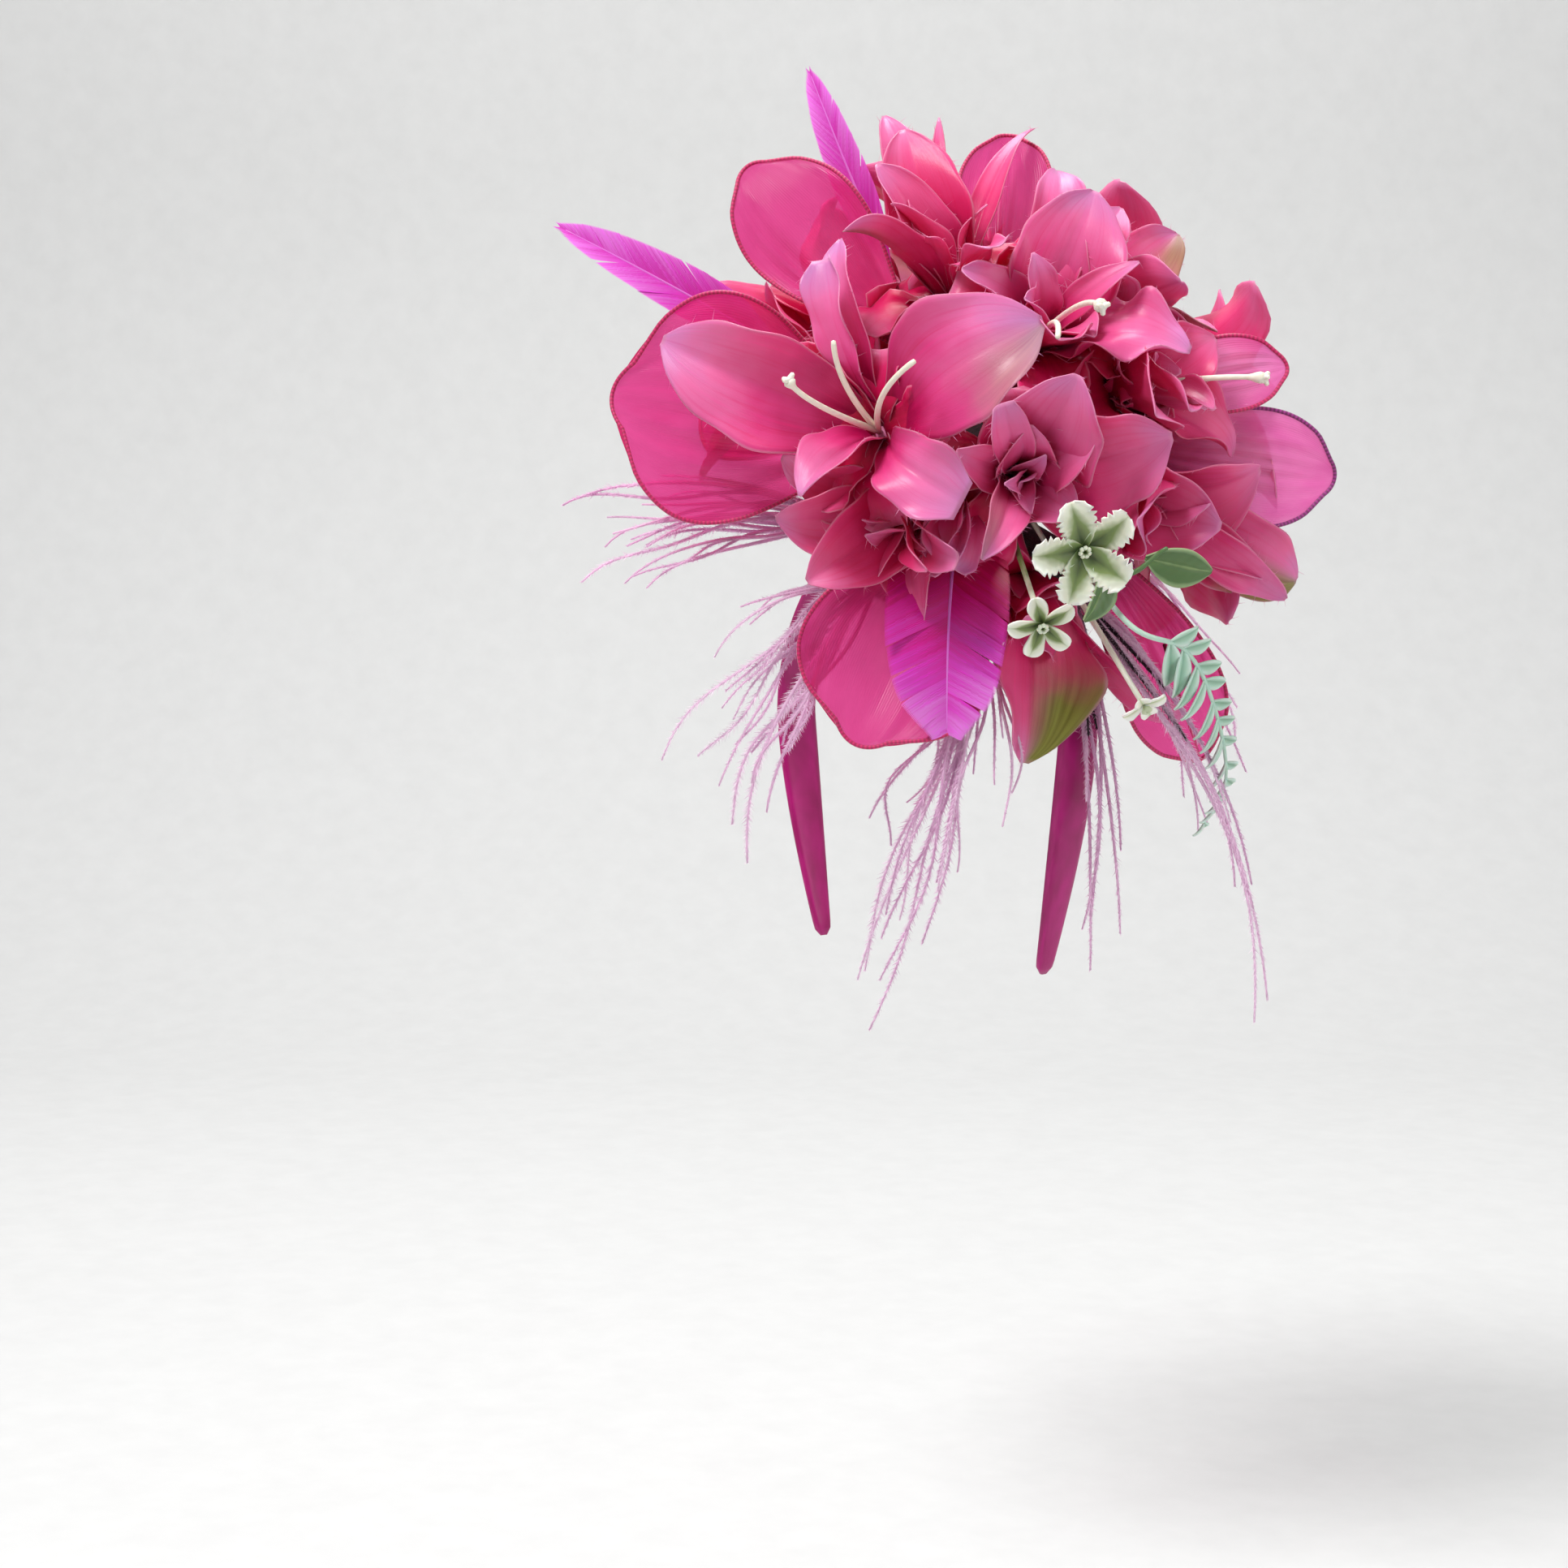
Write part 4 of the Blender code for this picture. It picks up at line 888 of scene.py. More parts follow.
def rings_along(path):
    """The way ahead at each point of a path, and two directions across it that never twist."""
    ahead = np.gradient(path, axis=0)
    ahead /= np.linalg.norm(ahead, axis=1, keepdims=True) + 1e-12
    across = np.cross(ahead[0], (0.31, 0.52, 0.80))
    kept = []
    for direction in ahead:
        across = across - direction * across.dot(direction)
        across /= np.linalg.norm(across) + 1e-12
        kept.append(across.copy())
    kept = np.array(kept)
    return ahead, kept, np.cross(ahead, kept)


def add_wire(piece, path, radii, sides=6, **marks):
    """Adds a round wire with closed ends; its marks tell the share along it."""
    ahead, across, upright = rings_along(path)
    radii = np.broadcast_to(radii, len(path))
    turns = np.arange(sides) * 2 * math.pi / sides
    sideways = across[:, None] * np.cos(turns)[None, :, None]
    upwards = upright[:, None] * np.sin(turns)[None, :, None]
    rings = path[:, None] + (sideways + upwards) * radii[:, None, None]
    index = np.arange(len(path) * sides).reshape(len(path), sides)
    after = np.roll(index, -1, axis=1)
    faces = np.stack([index[:-1], after[:-1], after[1:], index[1:]], axis=2).reshape(-1, 4).tolist()
    first, last = len(path) * sides, len(path) * sides + 1
    faces += [[first, after[0, side], index[0, side]] for side in range(sides)]
    faces += [[last, index[-1, side], after[-1, side]] for side in range(sides)]
    points = np.concatenate([rings.reshape(-1, 3), path[:1] - ahead[:1] * radii[0] * 0.3,
                             path[-1:] + ahead[-1:] * radii[-1] * 0.5])
    share = np.concatenate([np.repeat(np.linspace(0, 1, len(path)), sides), [0, 1]])
    run = np.concatenate([[0], np.cumsum(np.linalg.norm(np.diff(path, axis=0), axis=1))])
    u = np.concatenate([np.repeat(run, sides), [0, run[-1]]])
    v = np.concatenate([np.tile(turns, len(path)), [0, 0]]) * radii.max()
    piece.add(points, faces, u=u, v=v, along=share, **marks)


def add_hairs(piece, starts, ends, width, **marks):
    """Adds fine hairs, each one narrow triangle from its start to its end."""
    starts, ends = np.asarray(starts), np.asarray(ends)
    run = ends - starts
    aside = np.cross(run, chance.normal(size=run.shape))
    aside *= width / 2 / (np.linalg.norm(aside, axis=1, keepdims=True) + 1e-12)
    points = np.stack([starts - aside, starts + aside, ends], axis=1).reshape(-1, 3)
    faces = np.arange(len(points)).reshape(-1, 3).tolist()
    marks = {name: np.repeat(np.broadcast_to(value, len(starts)), 3) for name, value in marks.items()}
    piece.add(points, faces, **marks)


print("A sheet, a wire and a hair are ready to cut")

# %% [markdown]
# ## Finishes
#
# Each finish starts from the real material: what it is, how its surface was made, and what that gives the
# eye. Colours are written as sRGB hex, as a maker would read them off a dye card, and turned linear once.
# One helper adds a node to a tree, sets it and joins what feeds it.

# %% Helpers for finishes
def dye(code):
    """A linear colour from an sRGB hex code."""
    channels = [int(code[at:at + 2], 16) / 255 for at in (0, 2, 4)]
    return (*[c / 12.92 if c <= 0.04045 else ((c + 0.055) / 1.055) ** 2.4 for c in channels], 1.0)


def add(tree, kind, values=None, links=None, **settings):
    """Adds a node, sets its settings and input values, and joins the sockets that feed it."""
    made = tree.nodes.new("ShaderNode" + kind)
    for name, value in settings.items():
        setattr(made, name, value)
    for name, value in (values or {}).items():
        made.inputs[name].default_value = value
    for name, source in (links or {}).items():
        tree.links.new(source, made.inputs[name])
    return made


def mark(tree, name):
    """The mark of that name, which each point of a piece keeps."""
    return add(tree, "Attribute", attribute_name=name).outputs["Fac"]


def sums(tree, operation, *terms):
    """One step of arithmetic on sockets and plain numbers."""
    made = add(tree, "Math", operation=operation)
    for slot, term in enumerate(terms):
        if isinstance(term, (int, float)):
            made.inputs[slot].default_value = term
        else:
            tree.links.new(term, made.inputs[slot])
    return made.outputs[0]


def between(tree, value, low, high):
    """A value eased from 0 at low to 1 at high."""
    made = add(tree, "MapRange", values={"From Min": low, "From Max": high}, links={"Value": value},
               interpolation_type="SMOOTHSTEP")
    return made.outputs["Result"]


def dyed(tree, value, *stops):
    """A run of dyes: stops are (share, hex code)."""
    made = add(tree, "ValToRGB", links={"Fac": value})
    ramp = made.color_ramp
    while len(ramp.elements) < len(stops):
        ramp.elements.new(0.5)
    for element, (share, code) in zip(ramp.elements, stops):
        element.position = share
        element.color = dye(code)
    return made.outputs["Color"]


def blend_dyes(tree, share, first, second, blend_type="MIX"):
    """Two dyes mixed by a share; each is a socket or a hex code."""
    made = add(tree, "Mix", data_type="RGBA", blend_type=blend_type)
    for slot, term in ((0, share), (6, first), (7, second)):
        if isinstance(term, str):
            made.inputs[slot].default_value = dye(term)
        elif isinstance(term, (int, float)):
            made.inputs[slot].default_value = term
        else:
            tree.links.new(term, made.inputs[slot])
    return made.outputs[2]


def cloth_map(tree, along, across):
    """The cloth's own coordinates, with this many repeats a metre along and across it."""
    place = add(tree, "UVMap", uv_map="cloth").outputs["UV"]
    scaled = add(tree, "Mapping", values={"Scale": (along, across, 1)}, links={"Vector": place})
    return scaled.outputs["Vector"]


def speckle(tree, place, scale, detail=3.0, roughness=0.55):
    """Soft noise on some coordinates, from 0 to 1."""
    values = {"Scale": scale, "Detail": detail, "Roughness": roughness}
    return add(tree, "TexNoise", values=values, links={"Vector": place}).outputs["Fac"]


def new_finish(name, **values):
    """A material with its one Principled shader, whose plain values are set here."""
    made = bpy.data.materials.new(name)
    made.use_nodes = True
    shader = made.node_tree.nodes["Principled BSDF"]
    for socket, value in values.items():
        shader.inputs[socket.replace("_", " ")].default_value = value
    return made, made.node_tree, shader


def colour_it(tree, shader, colour, height=None, distance=0.0003, strength=0.5):
    """Feeds a shader its colour and, where there is one, the height of its surface."""
    if isinstance(colour, str):
        shader.inputs["Base Color"].default_value = dye(colour)
    else:
        tree.links.new(colour, shader.inputs["Base Color"])
    if height is not None:
        values = {"Distance": distance, "Strength": strength}
        bump = add(tree, "Bump", values=values, links={"Height": height})
        tree.links.new(bump.outputs["Normal"], shader.inputs["Normal"])


def let_light_through(tree, shader, colour, share):
    """Thin cloth also glows with the light that falls on its back, and that light is dyed twice."""
    twice = blend_dyes(tree, 0.6, colour, colour, "MULTIPLY")
    glow = add(tree, "BsdfTranslucent", links={"Color": twice})
    mixed = add(tree, "MixShader", values={0: share}, links={1: shader.outputs[0], 2: glow.outputs[0]})
    tree.links.new(mixed.outputs[0], tree.nodes["Material Output"].inputs["Surface"])


# %% [markdown]
# ### Printed petal satin
#
# Polyester satin, printed before it is cut: crimson in the throat, then pink, and a pale lilac pink
# towards the tip. The ink runs a little along the yarns, so the colour is streaked lengthwise. The floats
# of the weave lie along the petal and give a soft, broad shine. The heat-cut edge is pale and thin, and
# some tips carry a brushed olive green. Satin weave is 0.1 mm fine, so it is drawn four times coarser.

# %% Petal satin
def petal_satin():
    made, tree, shader = new_finish(
        "petal_satin", Roughness=0.34, Metallic=0.0, IOR=1.42, Sheen_Weight=0.1, Sheen_Roughness=0.3,
        Sheen_Tint=dye("FF8CC0"),
    )
    along, across, tone, tint = [mark(tree, name) for name in MARKS]
    yarns = cloth_map(tree, 16, 430)
    streaks = speckle(tree, yarns, 1.0, 4.0, 0.6)
    clouds = speckle(tree, cloth_map(tree, 60, 60), 1.0, 2.0)
    worn = sums(tree, "ADD", along, sums(tree, "MULTIPLY", sums(tree, "SUBTRACT", clouds, 0.5), 0.34))
    deep = dyed(
        tree, worn, (0.0, "60001A"), (0.24, "B4003A"), (0.5, "E2125E"), (0.8, "F23A82"), (1.0, "F47AB0"),
    )
    pale = dyed(
        tree, worn, (0.0, "8A0030"), (0.22, "D01664"), (0.46, "EE4C98"), (0.78, "F688C4"), (1.0, "E49AD6"),
    )
    inked = blend_dyes(tree, tone, deep, pale)
    inked = blend_dyes(tree, between(tree, streaks, 0.5, 0.85), inked, "F2A9C6", "SOFT_LIGHT")
    inked = blend_dyes(tree, between(tree, streaks, 0.5, 0.1), inked, "A81A54", "SOFT_LIGHT")
    one_side = between(tree, sums(tree, "MULTIPLY", across, sums(tree, "SIGN", tint)), -0.35, 0.45)
    strength = sums(tree, "ABSOLUTE", tint)
    near_tip = between(tree, worn, 0.4, 0.8)
    brushed = sums(tree, "MULTIPLY", strength, sums(tree, "MULTIPLY", near_tip, one_side))
    inked = blend_dyes(tree, brushed, inked, dyed(tree, streaks, (0.3, "7C7426"), (0.7, "A3A544")))
    edge = sums(tree, "MAXIMUM", between(tree, sums(tree, "ABSOLUTE", across), 0.955, 0.995),
                between(tree, along, 0.97, 1.0))
    inked = blend_dyes(tree, sums(tree, "MULTIPLY", edge, 0.45), inked, "F0A8C4")
    weave = speckle(tree, cloth_map(tree, 900, 2500), 1.0, 1.0)
    height = sums(tree, "ADD", sums(tree, "MULTIPLY", streaks, 0.6), sums(tree, "MULTIPLY", weave, 0.3))
    colour_it(tree, shader, inked, height, 0.0005, 0.35)
    let_light_through(tree, shader, inked, 0.3)
    return made


# %% [markdown]
# ### Sheer organza and its rolled rim
#
# Organza is a plain open weave of stiff twisted filaments: one layer lets about a third of what lies
# behind show through, two layers nearly hide it, and the filaments glint. The edge is rolled over a thin
# wire and sewn with close thread in a darker dye.

# %% Organza and its rim
def organza(name, first, second, shown, roughness=0.3):
    made, tree, shader = new_finish(
        name, Roughness=roughness, Metallic=0.0, IOR=1.5, Sheen_Weight=0.4, Sheen_Roughness=0.25,
        Sheen_Tint=dye("FFB0D6"),
    )
    clouds = speckle(tree, cloth_map(tree, 30, 45), 1.0, 3.0)
    colour = dyed(tree, clouds, (0.3, first), (0.7, second))
    colour = blend_dyes(tree, between(tree, mark(tree, "along"), 0.45, 0.0), colour, "A80C50")
    threads = add(tree, "TexWave", values={"Scale": 1.0, "Distortion": 0.6, "Detail": 1.0},
                  links={"Vector": cloth_map(tree, 90, 420)}, bands_direction="Y").outputs["Fac"]
    folds = speckle(tree, cloth_map(tree, 25, 190), 1.0, 2.0)
    height = sums(tree, "ADD", folds, sums(tree, "MULTIPLY", threads, 0.12))
    colour_it(tree, shader, colour, height, 0.0012, 0.5)
    let_light_through(tree, shader, colour, 0.35)
    mixed = tree.nodes["Material Output"].inputs["Surface"].links[0].from_socket
    clear = add(tree, "BsdfTransparent", values={"Color": dye(second)})
    gaps = sums(tree, "MULTIPLY", between(tree, mark(tree, "along"), 0.25, 0.95), 1.3 * (1 - shown))
    sheer = add(tree, "MixShader", links={0: gaps, 1: mixed, 2: clear.outputs[0]})
    tree.links.new(sheer.outputs[0], tree.nodes["Material Output"].inputs["Surface"])
    return made


def sewn_rim(name, first, second):
    made, tree, shader = new_finish(name, Roughness=0.5, Metallic=0.0, IOR=1.5, Sheen_Weight=0.3)
    wraps = add(tree, "TexWave", values={"Scale": 1.0, "Distortion": 0.4},
                links={"Vector": cloth_map(tree, 240, 0)}, bands_direction="X").outputs["Fac"]
    colour_it(tree, shader, dyed(tree, wraps, (0.2, first), (0.9, second)), wraps, 0.0002, 0.3)
    return made


# %% [markdown]
# ### Feathers
#
# Goose satinettes are dyed in acid dye, which takes strongly in the barbs and leaves a silky shine along
# them; pale lilac streaks painted into the colour stand for that shine, a painted sheen. Ostrich barbs are
# soft and matt, and their flue scatters the light, so they look paler than the dye.

# %% Feather dyes
def goose_dye_and_sheen():
    made, tree, shader = new_finish(
        "goose_feather_dye_and_sheen", Roughness=0.38, Metallic=0.0, IOR=1.54, Sheen_Weight=0.5, Sheen_Roughness=0.35,
    )
    streaks = speckle(tree, cloth_map(tree, 60, 900), 1.0, 2.0)
    tone = mark(tree, "tone")
    colour = dyed(tree, tone, (0.0, "CC0058"), (0.35, "DC0C94"), (0.7, "E040C6"), (1.0, "EE84E6"))
    # Pale lilac streaks from barb to barb: painted sheen mixed into the dye.
    colour = blend_dyes(tree, between(tree, streaks, 0.45, 0.75), colour, "EFA0EC", "SOFT_LIGHT")
    colour_it(tree, shader, colour)
    let_light_through(tree, shader, colour, 0.25)
    return made


def ostrich_dye():
    made, tree, shader = new_finish("ostrich_dye", Roughness=0.75, Metallic=0.0, IOR=1.54, Sheen_Weight=0.4)
    tone = mark(tree, "tone")
    colour = dyed(tree, tone, (0.0, "3A1A30"), (0.1, "F0CCE8"), (0.6, "F8E0F2"), (1.0, "FDF0FA"))
    colour_it(tree, shader, colour)
    let_light_through(tree, shader, colour, 0.55)
    return made


# %% [markdown]
# ### Soft plastic, ribbon and felt
#
# Pistils and leaves are moulded polyethylene: even colour, a soft waxy shine, and light that goes in a
# little way. The ribbon on the headband is satin, wound on with a small overlap. The pad is wool felt,
# dark so that it disappears between the petals.

# %% Plastic, ribbon and felt
def soft_plastic(name, colours, roughness=0.42, spot_scale=160, runs="across"):
    """Moulded plastic whose dye runs from the middle of a leaf to its edge, or from its foot to its tip."""
    made, tree, shader = new_finish(
        name, Roughness=roughness, Metallic=0.0, IOR=1.5, Subsurface_Weight=0.15, Subsurface_Scale=0.002,
    )
    spots = speckle(tree, cloth_map(tree, spot_scale, spot_scale), 1.0, 2.0)
    from_rib = sums(tree, "ABSOLUTE", mark(tree, "across"))
    if runs == "outwards":
        from_foot = sums(tree, "MULTIPLY", mark(tree, "along"), 0.62)
        from_rib = sums(tree, "ADD", sums(tree, "MULTIPLY", from_rib, 0.42), from_foot)
    out = sums(tree, "ADD", from_rib, sums(tree, "MULTIPLY", sums(tree, "SUBTRACT", spots, 0.5), 0.2))
    veins = add(tree, "TexWave", values={"Scale": 1.0, "Distortion": 0.3},
                links={"Vector": cloth_map(tree, 190, 120)}, bands_direction="DIAGONAL").outputs["Fac"]
    colour_it(tree, shader, dyed(tree, out, *colours), sums(tree, "MULTIPLY", veins, 0.6), 0.0003, 0.35)
    return made


def satin_ribbon():
    made, tree, shader = new_finish(
        "wound_satin_ribbon", Roughness=0.34, Metallic=0.0, IOR=1.46, Sheen_Weight=0.3, Sheen_Roughness=0.3,
    )
    clouds = speckle(tree, cloth_map(tree, 70, 200), 1.0, 2.0)
    colour = dyed(tree, clouds, (0.3, "98005C"), (0.7, "B80C78"))
    laps = add(tree, "TexWave", values={"Scale": 1.0, "Distortion": 0.0}, wave_profile="SAW",
               links={"Vector": cloth_map(tree, 12, 4)}, bands_direction="DIAGONAL").outputs["Fac"]
    weave = speckle(tree, cloth_map(tree, 900, 2400), 1.0, 1.0)
    colour_it(tree, shader, colour, sums(tree, "ADD", laps, sums(tree, "MULTIPLY", weave, 0.15)), 0.0005, 0.4)
    return made


def wool_felt():
    made, tree, shader = new_finish("wool_felt", Roughness=0.95, Metallic=0.0, IOR=1.5, Sheen_Weight=0.25)
    place = add(tree, "TexCoord").outputs["Object"]
    fibres = speckle(tree, place, 900, 6.0, 0.7)
    colour_it(tree, shader, dyed(tree, fibres, (0.3, "1C0A10"), (0.75, "40202A")), fibres, 0.0008, 0.8)
    return made


PETAL_SATIN = petal_satin()
CRIMSON_ORGANZA = organza("crimson_organza", "DC2E82", "F65CA8", 0.56, 0.24)
PINK_ORGANZA = organza("pink_organza", "EC5AB4", "FF9CD6", 0.84, 0.16)
CRIMSON_RIM = sewn_rim("crimson_rim", "A8004C", "CC1464")
PURPLE_RIM = sewn_rim("purple_rim", "6E1458", "9C2A84")
GOOSE = goose_dye_and_sheen()
OSTRICH = ostrich_dye()
CREAM_PLASTIC = soft_plastic("cream_plastic", ((0.0, "CFCDA6"), (0.5, "E6E0CE"), (1.0, "F0EADC")))
LEAF_GREEN = soft_plastic(
    "leaf_green", ((0.0, "8BA56B"), (0.12, "587844"), (0.75, "4F6E3E"), (1.0, "93AC7C")),
)
MINT_GREEN = soft_plastic("mint_green", ((0.0, "86B096"), (0.4, "A6CCB6"), (0.85, "CFE6DA")))
VARIEGATED = soft_plastic(
    "variegated_green", ((0.2, "43542C"), (0.48, "7C9054"), (0.62, "D9DEC6"), (0.9, "F2F2E8")),
    runs="outwards",
)
WHITE_PLASTIC = soft_plastic("white_plastic", ((0.0, "B9C79A"), (0.35, "E8EADB"), (1.0, "F6F5EF")))
RIBBON = satin_ribbon()
FELT = wool_felt()
print("Mixed", len(bpy.data.materials), "materials, those of the frame included")

# %% [markdown]
# ## The headband
#
# A springy band, 17 mm wide at the crown and narrower at its tips, wrapped in satin ribbon. Its section
# is a flat oval, because the ribbon pulls tight over the edges. The band's line is the solid model's own.

# %% Wrap the headband
BAND_TIP_ROUNDING = 0.004


def band_path(share):
    """The headband's inner line in the plane Y = 0, from the right tip at 0 to the left tip at 1."""
    sign = -1 if share < 0.5 else 1
    arc = BAND_INNER_RADIUS * math.pi / 2
    leg = BAND_DEPTH - BAND_INNER_RADIUS
    run = abs(share - 0.5) * 2 * (arc + leg)
    if run < arc:
        angle = run / BAND_INNER_RADIUS
        aside = sign * BAND_INNER_RADIUS * math.sin(angle)
        return Vector((aside, 0, BAND_INNER_RADIUS * (math.cos(angle) - 1)))
    down = (run - arc) / leg
    inset = BAND_TIP_INSET * down ** 1.3
    return Vector((sign * (BAND_INNER_RADIUS - inset), 0, -BAND_INNER_RADIUS - leg * down))


def faces_round(rows, sides):
    """The grid of points of a tube of closed rings, and the faces between them."""
    index = np.arange(rows * sides).reshape(rows, sides)
    after = np.roll(index, -1, axis=1)
    faces = np.stack([index[:-1], index[1:], after[1:], after[:-1]], axis=2)
    return index, faces.reshape(-1, 4).tolist()


def wrapped_band(stations=160, round_it=20):
    """A flat oval section that is carried along the band's line and closes to a rounded tip."""
    piece = Piece()
    shares = np.linspace(0.001, 0.999, stations)
    arc_and_leg = BAND_INNER_RADIUS * math.pi / 2 + BAND_DEPTH - BAND_INNER_RADIUS
    rings = []
    for share in shares:
        ahead = (band_path(min(share + 0.001, 1)) - band_path(max(share - 0.001, 0))).normalized()
        outward = ahead.cross(Vector((0, 1, 0)))
        from_crown = abs(share - 0.5) * 2
        taper = max((from_crown - BAND_TAPER_START) / (1 - BAND_TAPER_START), 0) ** 1.6
        width = BAND_WIDTH + (BAND_TIP_WIDTH - BAND_WIDTH) * taper
        to_tip = (1 - from_crown) * arc_and_leg
        closing = min(1, to_tip / BAND_TIP_ROUNDING)
        closing = math.sqrt(closing * (2 - closing)) * 0.97 + 0.03
        centre = band_path(share) + outward * BAND_THICKNESS / 2
        for turn in np.arange(round_it) * 2 * math.pi / round_it:
            wide, high = math.cos(turn), math.sin(turn)
            wide = math.copysign(abs(wide) ** 0.55, wide) * width / 2 * closing
            high = math.copysign(abs(high) ** 0.75, high) * BAND_THICKNESS / 2 * closing
            rings.append(tuple(centre + Vector((0, wide, 0)) + outward * high))
    index, faces = faces_round(stations, round_it)
    faces += [index[0].tolist(), index[-1, ::-1].tolist()]
    u = np.repeat(shares * 2 * arc_and_leg, round_it)
    v = np.tile(np.arange(round_it) / round_it * 2 * BAND_WIDTH, stations)
    piece.add(rings, faces, u=u, v=v)
    return piece.make("satin_headband", RIBBON, "satin_band", "headband")


wrapped_band()

# %% [markdown]
# ## The felt pad
#
# The pad is steamed over a block, so it fits the head, and a small mound of wadding under its felt takes
# the stems. It is turned in one go from its profile.

# %% Turn the felt pad
def turned_pad(steps=96):
    piece = Piece()
    reach = (HEART - HEAD_CENTRE).length
    foot = math.acos((PAD_OUTER_RADIUS ** 2 - reach ** 2 - MOUND_RADIUS ** 2) / (2 * reach * MOUND_RADIUS))
    mound = [(MOUND_RADIUS * math.sin(a), reach + MOUND_RADIUS * math.cos(a))
             for a in np.linspace(0, foot, 24)]
    start = math.atan2(*mound[-1])
    top = [(PAD_OUTER_RADIUS * math.sin(a), PAD_OUTER_RADIUS * math.cos(a))
           for a in np.linspace(start, PAD_RIM_ANGLE, 14)[1:]]
    under = [(PAD_INNER_RADIUS * math.sin(a), PAD_INNER_RADIUS * math.cos(a))
             for a in np.linspace(PAD_RIM_ANGLE, 0, 18)]
    profile = np.array(mound + top + under)
    profile[0, 0] = profile[-1, 0] = 0.00001
    turns = np.arange(steps) * 2 * math.pi / steps
    places = np.stack([profile[:, :1] * np.cos(turns), profile[:, :1] * np.sin(turns),
                       np.repeat(profile[:, 1:], steps, axis=1)], axis=2).reshape(-1, 3)
    turn = PAD_AXIS.to_track_quat("Z", "Y").to_matrix()
    places = places @ np.array(turn).T + np.array(HEAD_CENTRE)
    piece.add(places, faces_round(len(profile), steps)[1])
    return piece.make("felt_pad", FELT, "dark_felt", "base_pad")


pad_piece = turned_pad()

# %% [markdown]
# ## The lilies
#
# Each lily is a stalk that flares into a trumpet, with four to six moulded petals glued round it and, in
# most of them, narrower ones that stand up between these. The tone says where a petal's print lies between
# deep pink and pale lilac pink: the front lily is the palest. A few tips are brushed with olive green, and
# every cut edge sheds fine pale threads.

# %% Cut and glue the lilies
LILY_TONES = {
    "front": 1.0, "crown": 0.7, "centre": 0.6, "top": 0.4, "right": 0.4, "side": 0.5, "under": 0.25,
    "low": 0.25, "ridge": 0.5,
}
PLAIN_TONE = 0.35

# How strongly a petal's tip is brushed with green, by lily and petal number; the sign picks the side
OLIVE_TIPS = {
    ("low", 0): -1.0, ("side", 2): 0.9, ("front", 1): 0.45, ("ridge", 0): 0.7, ("top", 3): 0.6,
    ("ridge", 2): 0.5, ("centre", 3): 0.3,
}

# The smooth line of a lily's stem: how many points it has, and which lie in the stalk and in the trumpet
STEM_POINTS = 24
STALK_POINT = 17
TRUMPET_POINT = 21

# Threads that a cut edge sheds, and the offcuts round a throat
THREAD_WIDTH = 0.00016
THREAD_LENGTHS = (0.0008, 0.0024)
OFFCUT_WIDTH = 0.024
OFFCUT_LENGTHS = (0.024, 0.034)


def fray(piece, places, tone, count):
    """Pale threads that stand out from the cut edge of a sheet."""
    rows = len(places)
    row = chance.integers(int(rows * 0.35), rows, count)
    side = chance.integers(0, 2, count)
    edge = places[row, np.where(side, -1, 0)]
    inside = places[row, np.where(side, -3, 2)]
    outward = edge - inside
    outward /= np.linalg.norm(outward, axis=1, keepdims=True) + 1e-12
    length = chance.uniform(*THREAD_LENGTHS, (count, 1))
    ends = edge + (outward + chance.normal(0, 0.5, (count, 3))) * length
    add_hairs(piece, edge, ends, THREAD_WIDTH, along=1.0, across=1.0, tone=tone)


def tuck_offcuts(piece, stem, count=5):
    """Short crimson offcuts round the throat, tucked under the petals so that the pad stays hidden."""
    base = Vector(stem[STALK_POINT])
    outward = (Vector(stem[TRUMPET_POINT]) - base).normalized()
    upright = outward.orthogonal().normalized()
    for turn in range(count):
        angle = 2 * math.pi * (turn + chance.uniform(-0.2, 0.2)) / count
        around = Matrix.Rotation(angle, 3, outward) @ upright
        tip = base + (around + outward * chance.uniform(-0.05, 0.3)) * chance.uniform(*OFFCUT_LENGTHS)
        plan = {
            "base": base, "tip": tip, "facing": outward, "width": OFFCUT_WIDTH, "outline": "strap",
            "bend": 0.1, "cup": 0.7, "twist": chance.uniform(-25, 25),
        }
        form = {"ruffle": 0.2, "waves": 2.2, "phase": chance.uniform(0, 1), "buckle": 0.15}
        add_sheet(piece, plan, cloth(plan, 10, 8, **form), SATIN_THICKNESS, tone=0.0)


# The line of the thin loose strand at the lower right, as places from the heart
STRAND = ((111, -46, 0.80), (111.4, -51, 0.98), (115.8, -54, 1.10), (119.5, -56, 1.16))


def add_bud_petal(piece):
    """A glossy petal that is still half rolled, below the front lily, with a frayed end."""
    base, tip = spot(36, -19, 0.48), spot(35.5, -30, 0.68)
    for turn, tone in ((0, 1.0), (75, 0.8), (-80, 0.4)):
        plan = {"base": base, "tip": tip, "facing": bearing_vector(36 + turn, 12), "width": 0.019,
                "outline": "strap", "bend": 0.12, "cup": 1.15, "twist": 12}
        grid = cloth(plan, 24, 16, ruffle=0.14, waves=1.5, phase=0.2 + turn / 100, roll=-0.04, buckle=0.12)
        add_sheet(piece, plan, grid, SATIN_THICKNESS, tone=tone)
        fray(piece, grid[0], 1.0, 60)


